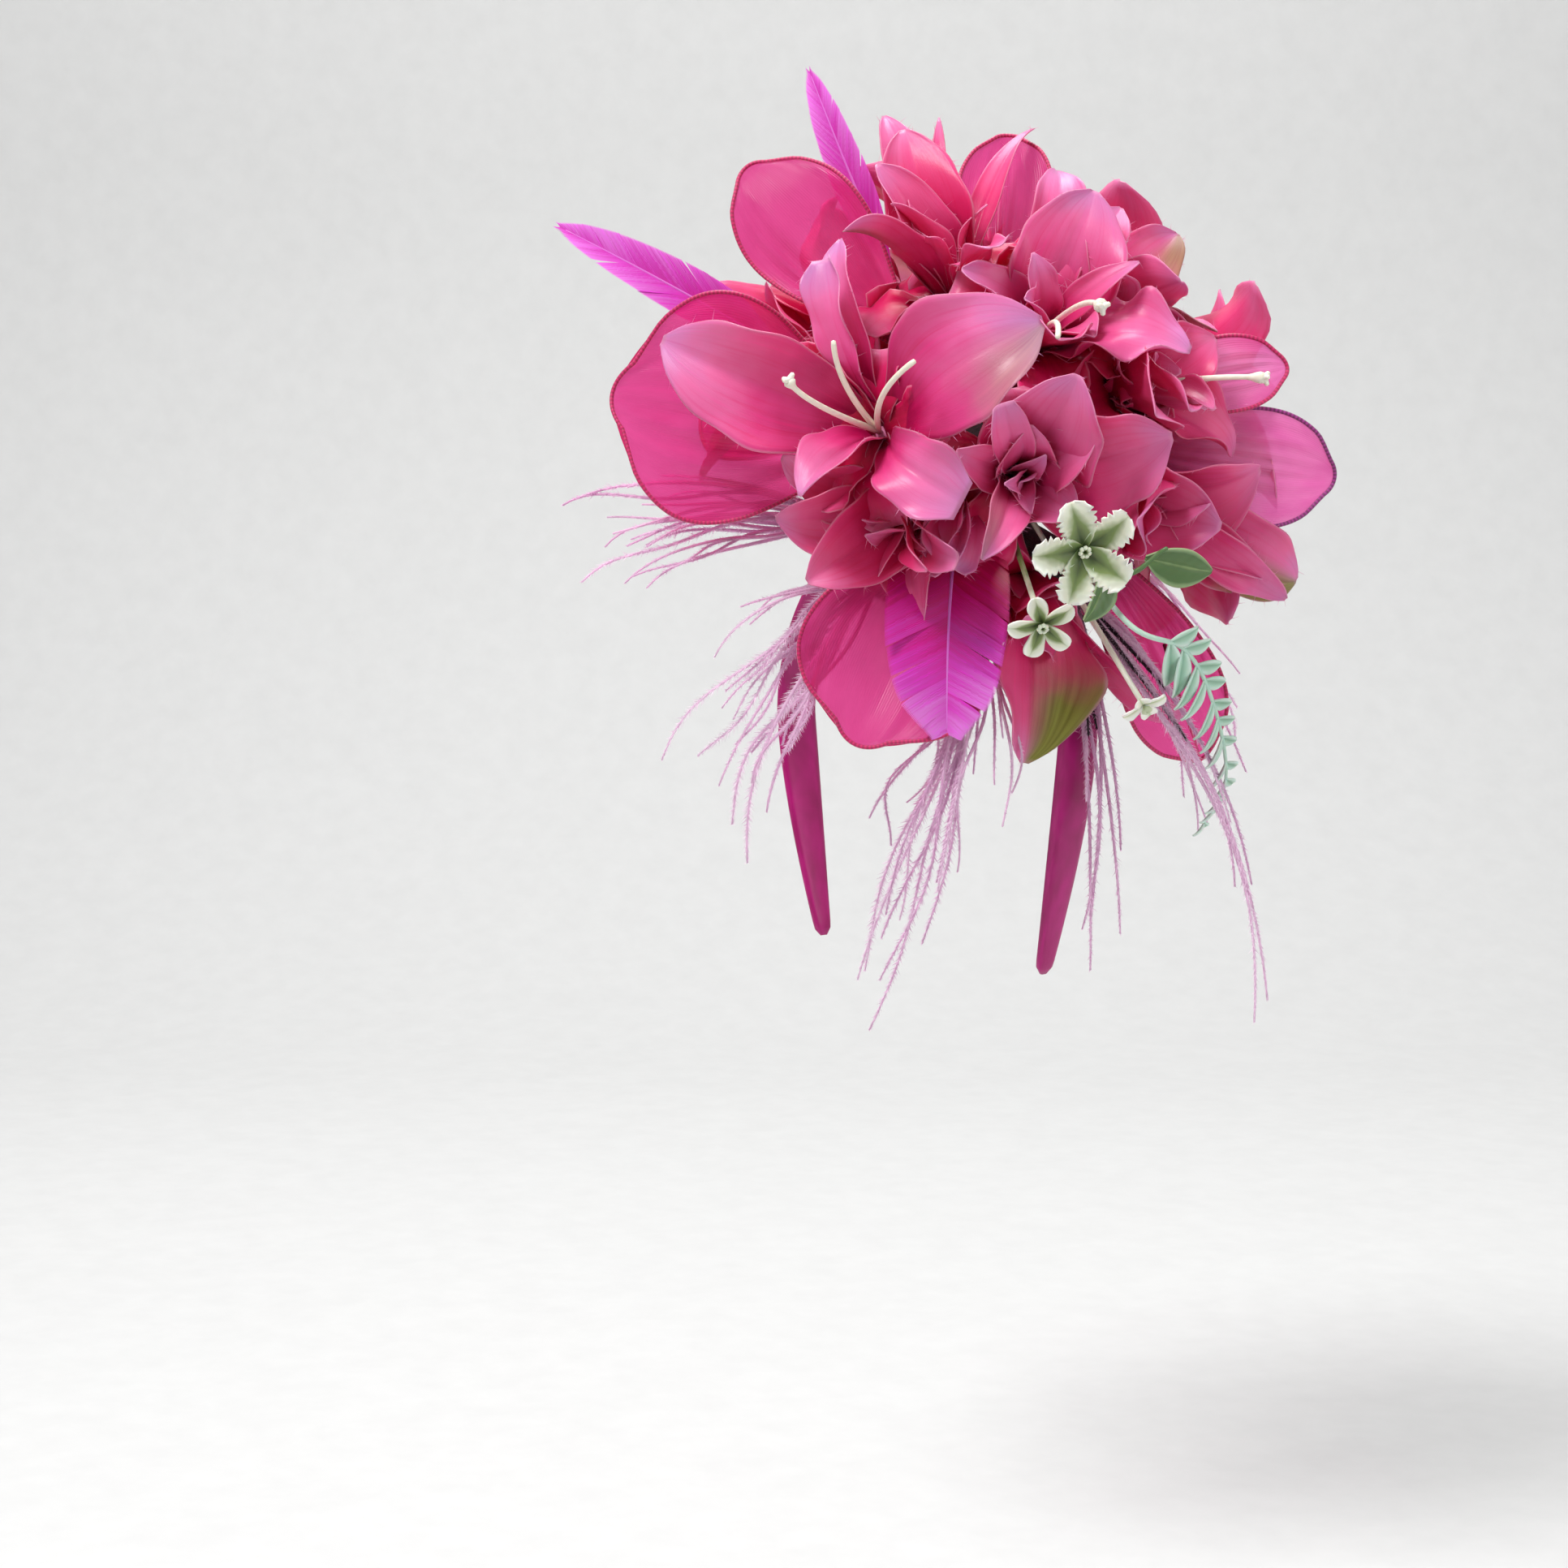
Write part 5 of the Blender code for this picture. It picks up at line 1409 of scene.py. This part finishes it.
def inner_petals(plans, stem, name):
    """Narrower petals that stand up between the outer ones, which two of the lilies don't have."""
    if name in ("front", "low"):
        return []
    outward = (Vector(stem[TRUMPET_POINT]) - Vector(stem[STALK_POINT])).normalized()
    inner = []
    for plan, after in zip(plans, plans[1:] + plans[:1]):
        first, second = plan["tip"] - plan["base"], after["tip"] - after["base"]
        length = min(first.length, second.length) * chance.uniform(0.72, 0.92)
        ahead = (first.normalized() + second.normalized() + outward * chance.uniform(0.5, 1.1)).normalized()
        facing = (outward - ahead * outward.dot(ahead)).normalized()
        base = (plan["base"] + after["base"]) / 2
        inner.append({
            **plan, "base": base, "tip": base + ahead * length, "facing": facing, "outline": "lily",
            "width": plan["width"] * chance.uniform(0.5, 0.72), "bend": 0.1, "twist": chance.uniform(-30, 30),
        })
    return inner


def make_lily(name):
    node = "lily_" + name
    piece = Piece()
    base_tone = LILY_TONES.get(name, PLAIN_TONE)
    stem = smooth_path(wires[node][0]["stem"], STEM_POINTS)
    radii = np.interp(np.linspace(0, 1, STEM_POINTS), (0, 0.4, 0.8, 0.93, 1),
                      (STALK_RADIUS, STALK_RADIUS, THROAT_RADIUS * 0.8, THROAT_RADIUS, STYLE_RADIUS))
    add_wire(piece, stem, radii, sides=14, tone=0.2)
    shown = name in LILY_TONES
    for number, plan in enumerate(sheets[node] + inner_petals(sheets[node], stem, name)):
        tone = float(np.clip(base_tone + chance.uniform(-0.2, 0.2), 0, 1))
        form = {
            "crease": chance.uniform(0.03, 0.12), "ruffle": chance.uniform(0.1, 0.28),
            "waves": chance.uniform(1.2, 2.8), "phase": chance.uniform(0, 1),
            "roll": chance.uniform(0.01, 0.08), "buckle": chance.uniform(0.05, 0.14), "nibble": 0.03,
        }
        grid = cloth(plan, *((34, 18) if shown else (20, 12)), **form)
        tint = OLIVE_TIPS.get((name, number), 0.0)
        add_sheet(piece, plan, grid, SATIN_THICKNESS, tone=tone, tint=tint)
        fray(piece, grid[0], tone, 26 if shown else 10)
    tuck_offcuts(piece, stem)
    if name == "under":
        add_bud_petal(piece)
    if name == "side":
        strand = smooth_path([spot(*row) for row in STRAND], 24)
        add_wire(piece, strand, np.linspace(0.0006, 0.0003, 24), sides=6, tone=0.6)
    return piece.make("satin_lily_" + name, PETAL_SATIN, "lily_satin", node)


for lily_name, *_ in LILIES:
    make_lily(lily_name)

# %% [markdown]
# ## The organza petals
#
# Each one is a single layer of organza, cut round, gathered at its root onto the stem wire, with its edge
# rolled over a fine wire. The mean width of its outline is worked out, but nothing uses it.

# %% Gather the organza petals
RIM_RADIUS = 0.00065
SHEER_LOOKS = {
    # name: cloth, rim, gathers, ruffle
    "left": (CRIMSON_ORGANZA, CRIMSON_RIM, 0.075, 0.10),
    "top_left": (CRIMSON_ORGANZA, CRIMSON_RIM, 0.095, 0.14),
    "top": (CRIMSON_ORGANZA, CRIMSON_RIM, 0.08, 0.12),
    "right": (PINK_ORGANZA, PURPLE_RIM, 0.055, 0.14),
    "right_top": (PINK_ORGANZA, CRIMSON_RIM, 0.08, 0.12),
    "low_left": (CRIMSON_ORGANZA, CRIMSON_RIM, 0.09, 0.14),
    "low_right": (CRIMSON_ORGANZA, CRIMSON_RIM, 0.09, 0.14),
    "rear": (CRIMSON_ORGANZA, CRIMSON_RIM, 0.08, 0.12),
    "far": (CRIMSON_ORGANZA, CRIMSON_RIM, 0.08, 0.12),
}


def make_sheer_petal(name, cloth_finish, rim_finish, gathers, ruffle):
    node = "organza_" + name
    plan = sheets[node][0]
    form = {"gathers": gathers, "ruffle": ruffle, "waves": 1.4, "phase": chance.uniform(0, 1), "buckle": 0.09,
            "cap": 0.5}
    grid = cloth(plan, 48, 36, **form)
    piece, rim = Piece(), Piece()
    add_sheet(piece, plan, grid, 0, tone=0.5)
    petal = piece.make("sheer_petal_" + name, cloth_finish, "sheer_organza", node)
    places = grid[0]
    border = np.concatenate([places[2:, 0], places[-1, 1:-1], places[:1:-1, -1]])
    add_wire(rim, border, RIM_RADIUS, sides=7)
    wire = rim.make("rolled_rim_" + name, rim_finish, "sheer_organza")
    mean = float(np.mean([read_table(OUTLINES[plan["outline"]], share) for share in np.linspace(0, 1, 50)]))


for sheer_name, sheer_look in SHEER_LOOKS.items():
    make_sheer_petal(sheer_name, *sheer_look)

# %% [markdown]
# ## The goose feathers
#
# A dyed goose feather has a pale quill and two vanes of barbs. The barbs leave the quill at a slant, lie
# over each other like slates, and part into groups where the vane has been handled. Each barb is a narrow
# ribbon here.

# %% Comb the goose feathers
LAST_BARB = 0.985
BARB_APART = 0.001
GOOSE_LOOKS = {
    # name: first share of the quill that carries barbs, barbs on a side, tone of the dye, its rise to the tip
    "left": (0.28, 150, 0.66, 0.3), "top": (0.25, 130, 0.72, 0.3), "low": (0.06, 210, 0.36, 1.5),
}


def make_goose_feather(name, first, barbs, tone, rise):
    node = "goose_feather_" + name
    plan = sheets[node][0]
    piece = Piece()
    line = np.array([tuple(station(plan, share)[0]) for share in np.linspace(0, 0.97, 40)])
    add_wire(piece, line, np.linspace(0.0010, 0.0003, 40), sides=7, tone=1.0)
    steps = np.linspace(0, 1, 7)
    faces = squares(len(steps), 2).tolist()
    length = (plan["tip"] - plan["base"]).length
    for side in (-1, 1):
        group_lift, group_sweep, left = 0.0, 0.0, 0
        for barb in range(barbs):
            if left <= 0:
                group_lift, group_sweep = chance.uniform(-0.06, 0.12), chance.uniform(-0.008, 0.012)
                left = chance.integers(8, 40)
            left -= 1
            root = first + (LAST_BARB - first) * barb / barbs
            tip = min(root + 0.26 * (1.1 - root) + group_sweep, 1.0)
            centres, aheads = [], []
            for step in steps:
                share = root + (tip - root) * step ** 0.85
                middle, ahead, sideways, upwards, half = station(plan, share)
                cupped = (1 - math.cos(plan["cup"] * step)) / plan["cup"] + 0.16 * math.sin(2.2 * step)
                lift = half * (cupped + group_lift * step ** 2) + 0.0002
                centres.append(middle + sideways * (side * half * step * 0.98) + upwards * lift)
                aheads.append(ahead)
            width = length * (LAST_BARB - first) / barbs * np.interp(steps, (0, 0.8, 1), (2.1, 1.9, 0.4))
            left_edge = [centre - ahead * w / 2 for centre, ahead, w in zip(centres, aheads, width)]
            right_edge = [centre + ahead * w / 2 for centre, ahead, w in zip(centres, aheads, width)]
            points = np.array([[tuple(a), tuple(b)] for a, b in zip(left_edge, right_edge)])
            out = np.repeat(steps, 2)
            # Barb groups that stand up are painted lighter by their lift, a painted highlight; the rise
            # towards the tip is the dye.
            shade = tone + chance.normal(0, 0.06) + group_lift + rise * (root - 0.55) + 0.3 * (out - 0.4)
            marks = {"tone": np.clip(shade, 0, 1), "across": out}
            piece.add(points, faces, u=out * plan["width"] / 2, v=barb * BARB_APART, **marks)
    return piece.make("goose_feather_" + name + "_combed", GOOSE, "goose_feather", node)


for goose_name, goose_look in GOOSE_LOOKS.items():
    make_goose_feather(goose_name, *goose_look)

# %% [markdown]
# ## The ostrich plumes
#
# Ostrich barbs don't zip together. Each is a thin limp thread with a flue of fine hairs on both sides, and
# it waves and curls on its own. A lock of the solid model becomes a few such threads, tied at the plume's
# head.

# %% Tie the ostrich plumes
STRAND_POINTS = 30
DARK_STRAND_POINTS = 13


def add_barb(piece, path, tone, flue):
    """One ostrich barb: a tapered thread with hairs all along it."""
    count = len(path)
    add_wire(piece, path, np.linspace(0.0009, 0.0003, count), sides=4, tone=tone)
    ahead, across, upright = rings_along(path)
    run = np.concatenate([[0], np.cumsum(np.linalg.norm(np.diff(path, axis=0), axis=1))])
    places = np.arange(0.003, run[-1], 0.00028)
    hairs = np.repeat(places, 2) + chance.uniform(0, 0.0004, len(places) * 2)
    at = [np.stack([np.interp(hairs, run, line[:, axis]) for axis in range(3)], axis=1)
          for line in (path, ahead, across, upright)]
    turn = chance.normal(0, 0.5, len(hairs)) + np.tile([0, math.pi], len(places))
    outward = at[2] * np.cos(turn)[:, None] + at[3] * np.sin(turn)[:, None]
    taper = np.interp(hairs / run[-1], (0, 0.1, 0.85, 1), (0.4, 1, 0.8, 0.35))
    length = flue * chance.uniform(0.5, 1.0, len(hairs)) * taper
    ends = at[0] + (outward + at[1] * 0.9) * length[:, None]
    add_hairs(piece, at[0], ends, 0.00036, tone=tone * 1.25)


def make_plume(name, strands=4, flue=0.0024):
    node = "plume_" + name
    piece = Piece()
    head = bouquet.heads[name]
    outward = (head - HEAD_CENTRE).normalized()
    levels = np.linspace(-0.9, 0.9, 12)
    knot = np.array([tuple(head + outward * level * PLUME_HEAD_RADIUS) for level in levels])
    bulge = PLUME_HEAD_RADIUS * np.sqrt(1 - levels ** 2)
    add_wire(piece, knot, bulge, sides=16, tone=0.2)
    for lock in wires[node]:
        straight = bowed_path(lock, STRAND_POINTS)
        length = np.linalg.norm(straight[-1] - straight[0])
        _, across, upright = rings_along(straight)
        shares = np.linspace(0, 1, STRAND_POINTS)
        for strand in range(strands):
            spread = chance.normal(0, 0.005 if strand else 0.0, (1, 3)) * shares[:, None] ** 1.3
            swing = [chance.uniform(0.8, 2.2), chance.uniform(0, 6.3), chance.uniform(0.0025, 0.0065)]
            sway = swing[2] * np.sin(2 * math.pi * swing[0] * shares + swing[1]) * shares ** 0.8 - (
                swing[2] * math.sin(swing[1])) * (1 - shares) * shares ** 0.8
            dip = chance.uniform(-0.003, 0.004) * np.sin(math.pi * shares * chance.uniform(1, 2.6))
            path = straight + spread + across * sway[:, None] + upright * dip[:, None]
            curl = chance.uniform(-0.007, 0.007) * np.clip((shares - 0.75) / 0.25, 0, 1) ** 2
            path = path + across * curl[:, None]
            keep = STRAND_POINTS if strand == 0 else chance.integers(20, STRAND_POINTS)
            tone = float(chance.uniform(0.3, 0.8))
            if name == "side" and strand == strands - 1:
                keep, tone = DARK_STRAND_POINTS, 0.0
            add_barb(piece, path[:keep], tone, flue * (0.8 + 0.5 * (length > 0.09)))
    return piece.make("ostrich_plume_" + name, OSTRICH, "ostrich_plume", node)


for plume_name in PLUME_ROOTS:
    make_plume(plume_name)

# %% [markdown]
# ## Pistils and greenery
#
# The pistils are moulded in cream plastic: a thin style that swells to a lobed stigma. The leaves are cut
# as fine sheets with a crease down the middle, and the sprig's leaflets stand in pairs on a wiry stem.

# %% Mould the pistils
LOBED_FROM = 1.5


def make_pistil(name):
    node = "pistil_" + name
    piece = Piece()
    for wire in wires[node]:
        path = bowed_path(wire, 26)
        bulb = wire["bulb"]
        swell = np.interp(np.linspace(0, 1, 26), (0, 0.86, 0.95, 1), (1, 0.85, bulb * 0.9, bulb * 0.75))
        add_wire(piece, path, STYLE_RADIUS * swell, sides=10, across=0.6)
        if bulb > LOBED_FROM:
            ahead, across, upright = rings_along(path)
            for turn in (0.3, 2.4, 4.5):
                out = across[-1] * math.cos(turn) + upright[-1] * math.sin(turn)
                lobe = np.array([path[-1] + out * share * 0.0022 + ahead[-1] * 0.0012 * share
                                 for share in np.linspace(0, 1, 6)])
                add_wire(piece, lobe, np.linspace(0.0012, 0.0007, 6), sides=8, across=0.9)
    return piece.make("cream_pistil_" + name, CREAM_PLASTIC, "pistil_plastic", node)


for pistil_lily in ("front", "crown", "right"):
    make_pistil(pistil_lily)

# %% Mould the leaves and small flowers
def make_leaf_pair():
    piece = Piece()
    stem = smooth_path(wires["leaf_pair"][0]["stem"], 24)
    add_wire(piece, stem, np.linspace(STEM_RADIUS * 1.3, STEM_RADIUS * 0.7, 24), sides=8, across=0.5)
    for plan in sheets["leaf_pair"]:
        grid = cloth(plan, 24, 14, crease=0.14, ruffle=0.05, waves=1.5, roll=0.04)
        add_sheet(piece, plan, grid, LEAF_THICKNESS)
    return piece.make("green_leaf_pair", LEAF_GREEN, "leaf_plastic", "leaf_pair")


def make_trailing_sprig(pairs=12):
    """A wiry stem with many small leaflets, long on one side and short on the other."""
    piece = Piece()
    stem = wires["trailing_sprig"][0]["stem"]
    path = smooth_path(stem, 60)
    add_wire(piece, path, np.linspace(STEM_RADIUS * 1.1, STEM_RADIUS * 0.45, 60), sides=8, across=0.6)
    for pair in range(pairs):
        share = 0.34 + 0.65 * pair / (pairs - 1)
        shrink = 1 - 0.68 * pair / (pairs - 1)
        for side, long_side in ((1, 1.0), (-1, 0.55)):
            at = path[min(int(share * 59), 58)]
            base = Vector(at)
            ahead = (Vector(path[min(int(share * 59) + 1, 59)]) - base).normalized()
            facing = (base - HEART).normalized()
            lateral = ahead.cross(facing).normalized() * side
            forward = LEAF_SPREAD + 0.15 * chance.uniform(-1, 1)
            lean = (ahead * forward + lateral + facing * 0.1).normalized()
            length, width = LEAF_LENGTH * 0.9 * shrink * long_side, LEAF_WIDTH * 0.58 * shrink
            plan = leaf_plan(base, lean, facing, length, width)
            add_sheet(piece, plan, cloth(plan, 10, 6, crease=0.12, roll=0.05), LEAF_THICKNESS)
    return piece.make("mint_trailing_sprig", MINT_GREEN, "mint_plastic", "trailing_sprig")


SMALL_FLOWER_LOOKS = (
    # solid, name, finish, slot, scallop, lobes on the edge, spread of the middle's threads, tone
    ("variegated_sprig", "scalloped_leaflets", VARIEGATED, "leaf_plastic", 0.4, 9, 0.0016, 0.5),
    ("lobed_flower", "five_lobed_flower", VARIEGATED, "leaf_plastic", 0.0, 1, 0.0014, 0.4),
    ("white_bud", "white_bud_moulded", WHITE_PLASTIC, "pistil_plastic", 0.0, 1, 0.0012, 0.6),
)
MIDDLE_THREADS = 7


def make_small_flower(node, name, finish, slot, scallop, lobes_on_edge, dot, tone):
    piece = Piece()
    stalk = bowed_path(wires[node][0], 12)
    add_wire(piece, stalk, STEM_RADIUS, sides=8, across=0.3)
    centre = sheets[node][0]["base"]
    facing = (centre - HEART).normalized()
    for plan in sheets[node]:
        tip = plan["base"].lerp(plan["tip"], 0.88)
        plan = {**plan, "tip": tip, "outline": "round_leaf", "width": plan["width"] * 0.94}
        grid = cloth(plan, 22, 14, crease=0.1, ruffle=0.05, roll=0.06, scallop=scallop, lobes=lobes_on_edge)
        add_sheet(piece, plan, grid, LEAF_THICKNESS, tone=tone)
    upright = facing.orthogonal().normalized()
    for turn in range(MIDDLE_THREADS):
        around = Matrix.Rotation(2 * math.pi * turn / MIDDLE_THREADS, 3, facing) @ upright
        foot = centre + facing * 0.0008
        tip = foot + facing * 0.0024 + around * dot
        thread = np.array([tuple(foot.lerp(tip, share)) for share in np.linspace(0, 1, 5)])
        add_wire(piece, thread, np.array([0.0004, 0.0004, 0.0005, 0.0008, 0.0007]), sides=6, across=0.1)
    return piece.make(name, finish, slot, node)


make_leaf_pair()
make_trailing_sprig()
for flower_look in SMALL_FLOWER_LOOKS:
    make_small_flower(*flower_look)

# %% [markdown]
# ## The studio
#
# A pale sweep of paper runs from the floor up behind the piece, so no corner shows. A broad soft box
# above and in front gives the petals their gentle shine, a weaker one from the right fills the shade, one
# above and behind lights the top, and a faint one is turned to the paper. The even pale surroundings keep
# all shadows light, as in a catalogue picture. The piece is shown at the height of a wearer's head, so the
# floor lies well below it.

# %% Paper, lights and camera
FLOOR = -0.36
PAPER_HALF_WIDTH = 3.2
PAPER_NEAR = -2.2
PAPER_BEND = 0.9
PAPER_BEND_RADIUS = 0.6
PAPER_TOP = 2.6
VIEW_BEARING = 50
VIEW_RISE = 6
VIEW_AIM = (-0.049, -0.088)
VIEW_DISTANCE = 1.10
SENSOR_WIDTH = 36
PHOTO_PIXELS = 1932
FOCAL_PIXELS = 4074


def paper_sweep():
    """A sheet of paper that lies on the floor and curves up behind."""
    view = math.radians(VIEW_BEARING)
    back = Vector((-math.sin(view), math.cos(view), 0))
    aside = Vector((math.cos(view), math.sin(view), 0))
    bend = PAPER_BEND_RADIUS
    line = [(PAPER_NEAR, 0.0), (PAPER_BEND, 0.0)]
    line += [(PAPER_BEND + bend * math.sin(a), bend - bend * math.cos(a))
             for a in np.linspace(0, math.pi / 2, 14)[1:]]
    line += [(PAPER_BEND + bend, PAPER_TOP)]
    points = []
    for away, height in line:
        for side in (-PAPER_HALF_WIDTH, PAPER_HALF_WIDTH):
            points.append(tuple(back * away + aside * side + Vector((0, 0, FLOOR + height))))
    faces = [(2 * at, 2 * at + 1, 2 * at + 3, 2 * at + 2) for at in range(len(line) - 1)]
    mesh = bpy.data.meshes.new("paper_sweep")
    mesh.from_pydata(points, [], faces)
    mesh.shade_smooth()
    made = bpy.data.objects.new("paper_sweep", mesh)
    bpy.context.scene.collection.objects.link(made)
    finish, tree, shader = new_finish("pale_paper", Roughness=0.9, Metallic=0.0)
    grain = speckle(tree, add(tree, "TexCoord").outputs["Object"], 60, 4.0)
    colour_it(tree, shader, dyed(tree, grain, (0.3, "CFCFCE"), (0.7, "D3D3D2")), grain, 0.0008, 0.15)
    mesh.materials.append(finish)


def soft_box(name, place, aim, size, power):
    """A round white light that is turned from its place to a point."""
    lamp = bpy.data.lights.new(name, "AREA")
    lamp.shape = "DISK"
    lamp.size, lamp.energy = size, power
    made = bpy.data.objects.new(name, lamp)
    made.location = place
    made.rotation_mode = "QUATERNION"
    made.rotation_quaternion = (Vector(aim) - Vector(place)).to_track_quat("-Z", "Y")
    bpy.context.scene.collection.objects.link(made)


def surroundings(colour, strength):
    world = bpy.context.scene.world or bpy.data.worlds.new("studio")
    bpy.context.scene.world = world
    world.use_nodes = True
    backdrop = world.node_tree.nodes["Background"]
    backdrop.inputs["Color"].default_value = dye(colour)
    backdrop.inputs["Strength"].default_value = strength


def camera_at(azimuth, elevation, aim, distance, lens):
    """A camera that looks at a point from an azimuth to the left of the front and an elevation."""
    turn, lift = math.radians(azimuth), math.radians(elevation)
    right = Vector((math.cos(turn), math.sin(turn), 0))
    back = Vector((math.sin(turn) * math.cos(lift), -math.cos(turn) * math.cos(lift), math.sin(lift)))
    above = back.cross(right)
    target = right * aim[0] + above * aim[1]
    camera = bpy.data.objects.new("camera", bpy.data.cameras.new("camera"))
    camera.data.lens = lens
    camera.data.sensor_width = SENSOR_WIDTH
    camera.data.clip_start, camera.data.clip_end = 0.01, 50
    turned = Matrix((right, above, back)).transposed().to_4x4()
    camera.matrix_world = Matrix.Translation(target + back * distance) @ turned
    bpy.context.scene.collection.objects.link(camera)
    bpy.context.scene.camera = camera
    return right, above, back


paper_sweep()
lens = SENSOR_WIDTH * FOCAL_PIXELS / PHOTO_PIXELS
right, above, back = camera_at(VIEW_BEARING, VIEW_RISE, VIEW_AIM, VIEW_DISTANCE, lens)
middle = Vector((0.02, 0, 0))
soft_box("key_soft_box", middle + back * 0.9 - right * 0.7 + above * 1.3, middle, size=0.6, power=27)
soft_box("fill_soft_box", middle + back * 0.8 + right * 1.2 + above * 0.4, middle, size=1.0, power=6)
soft_box("top_soft_box", middle - back * 0.5 + above * 1.5, middle, size=0.8, power=18)
on_paper = middle - back * 1.5 - above * 0.3
soft_box("paper_light", middle - back * 0.4 + above * 1.9, on_paper, size=1.8, power=1)
surroundings("F0F1F3", strength=0.48)
bpy.context.scene.view_settings.view_transform = "Standard"
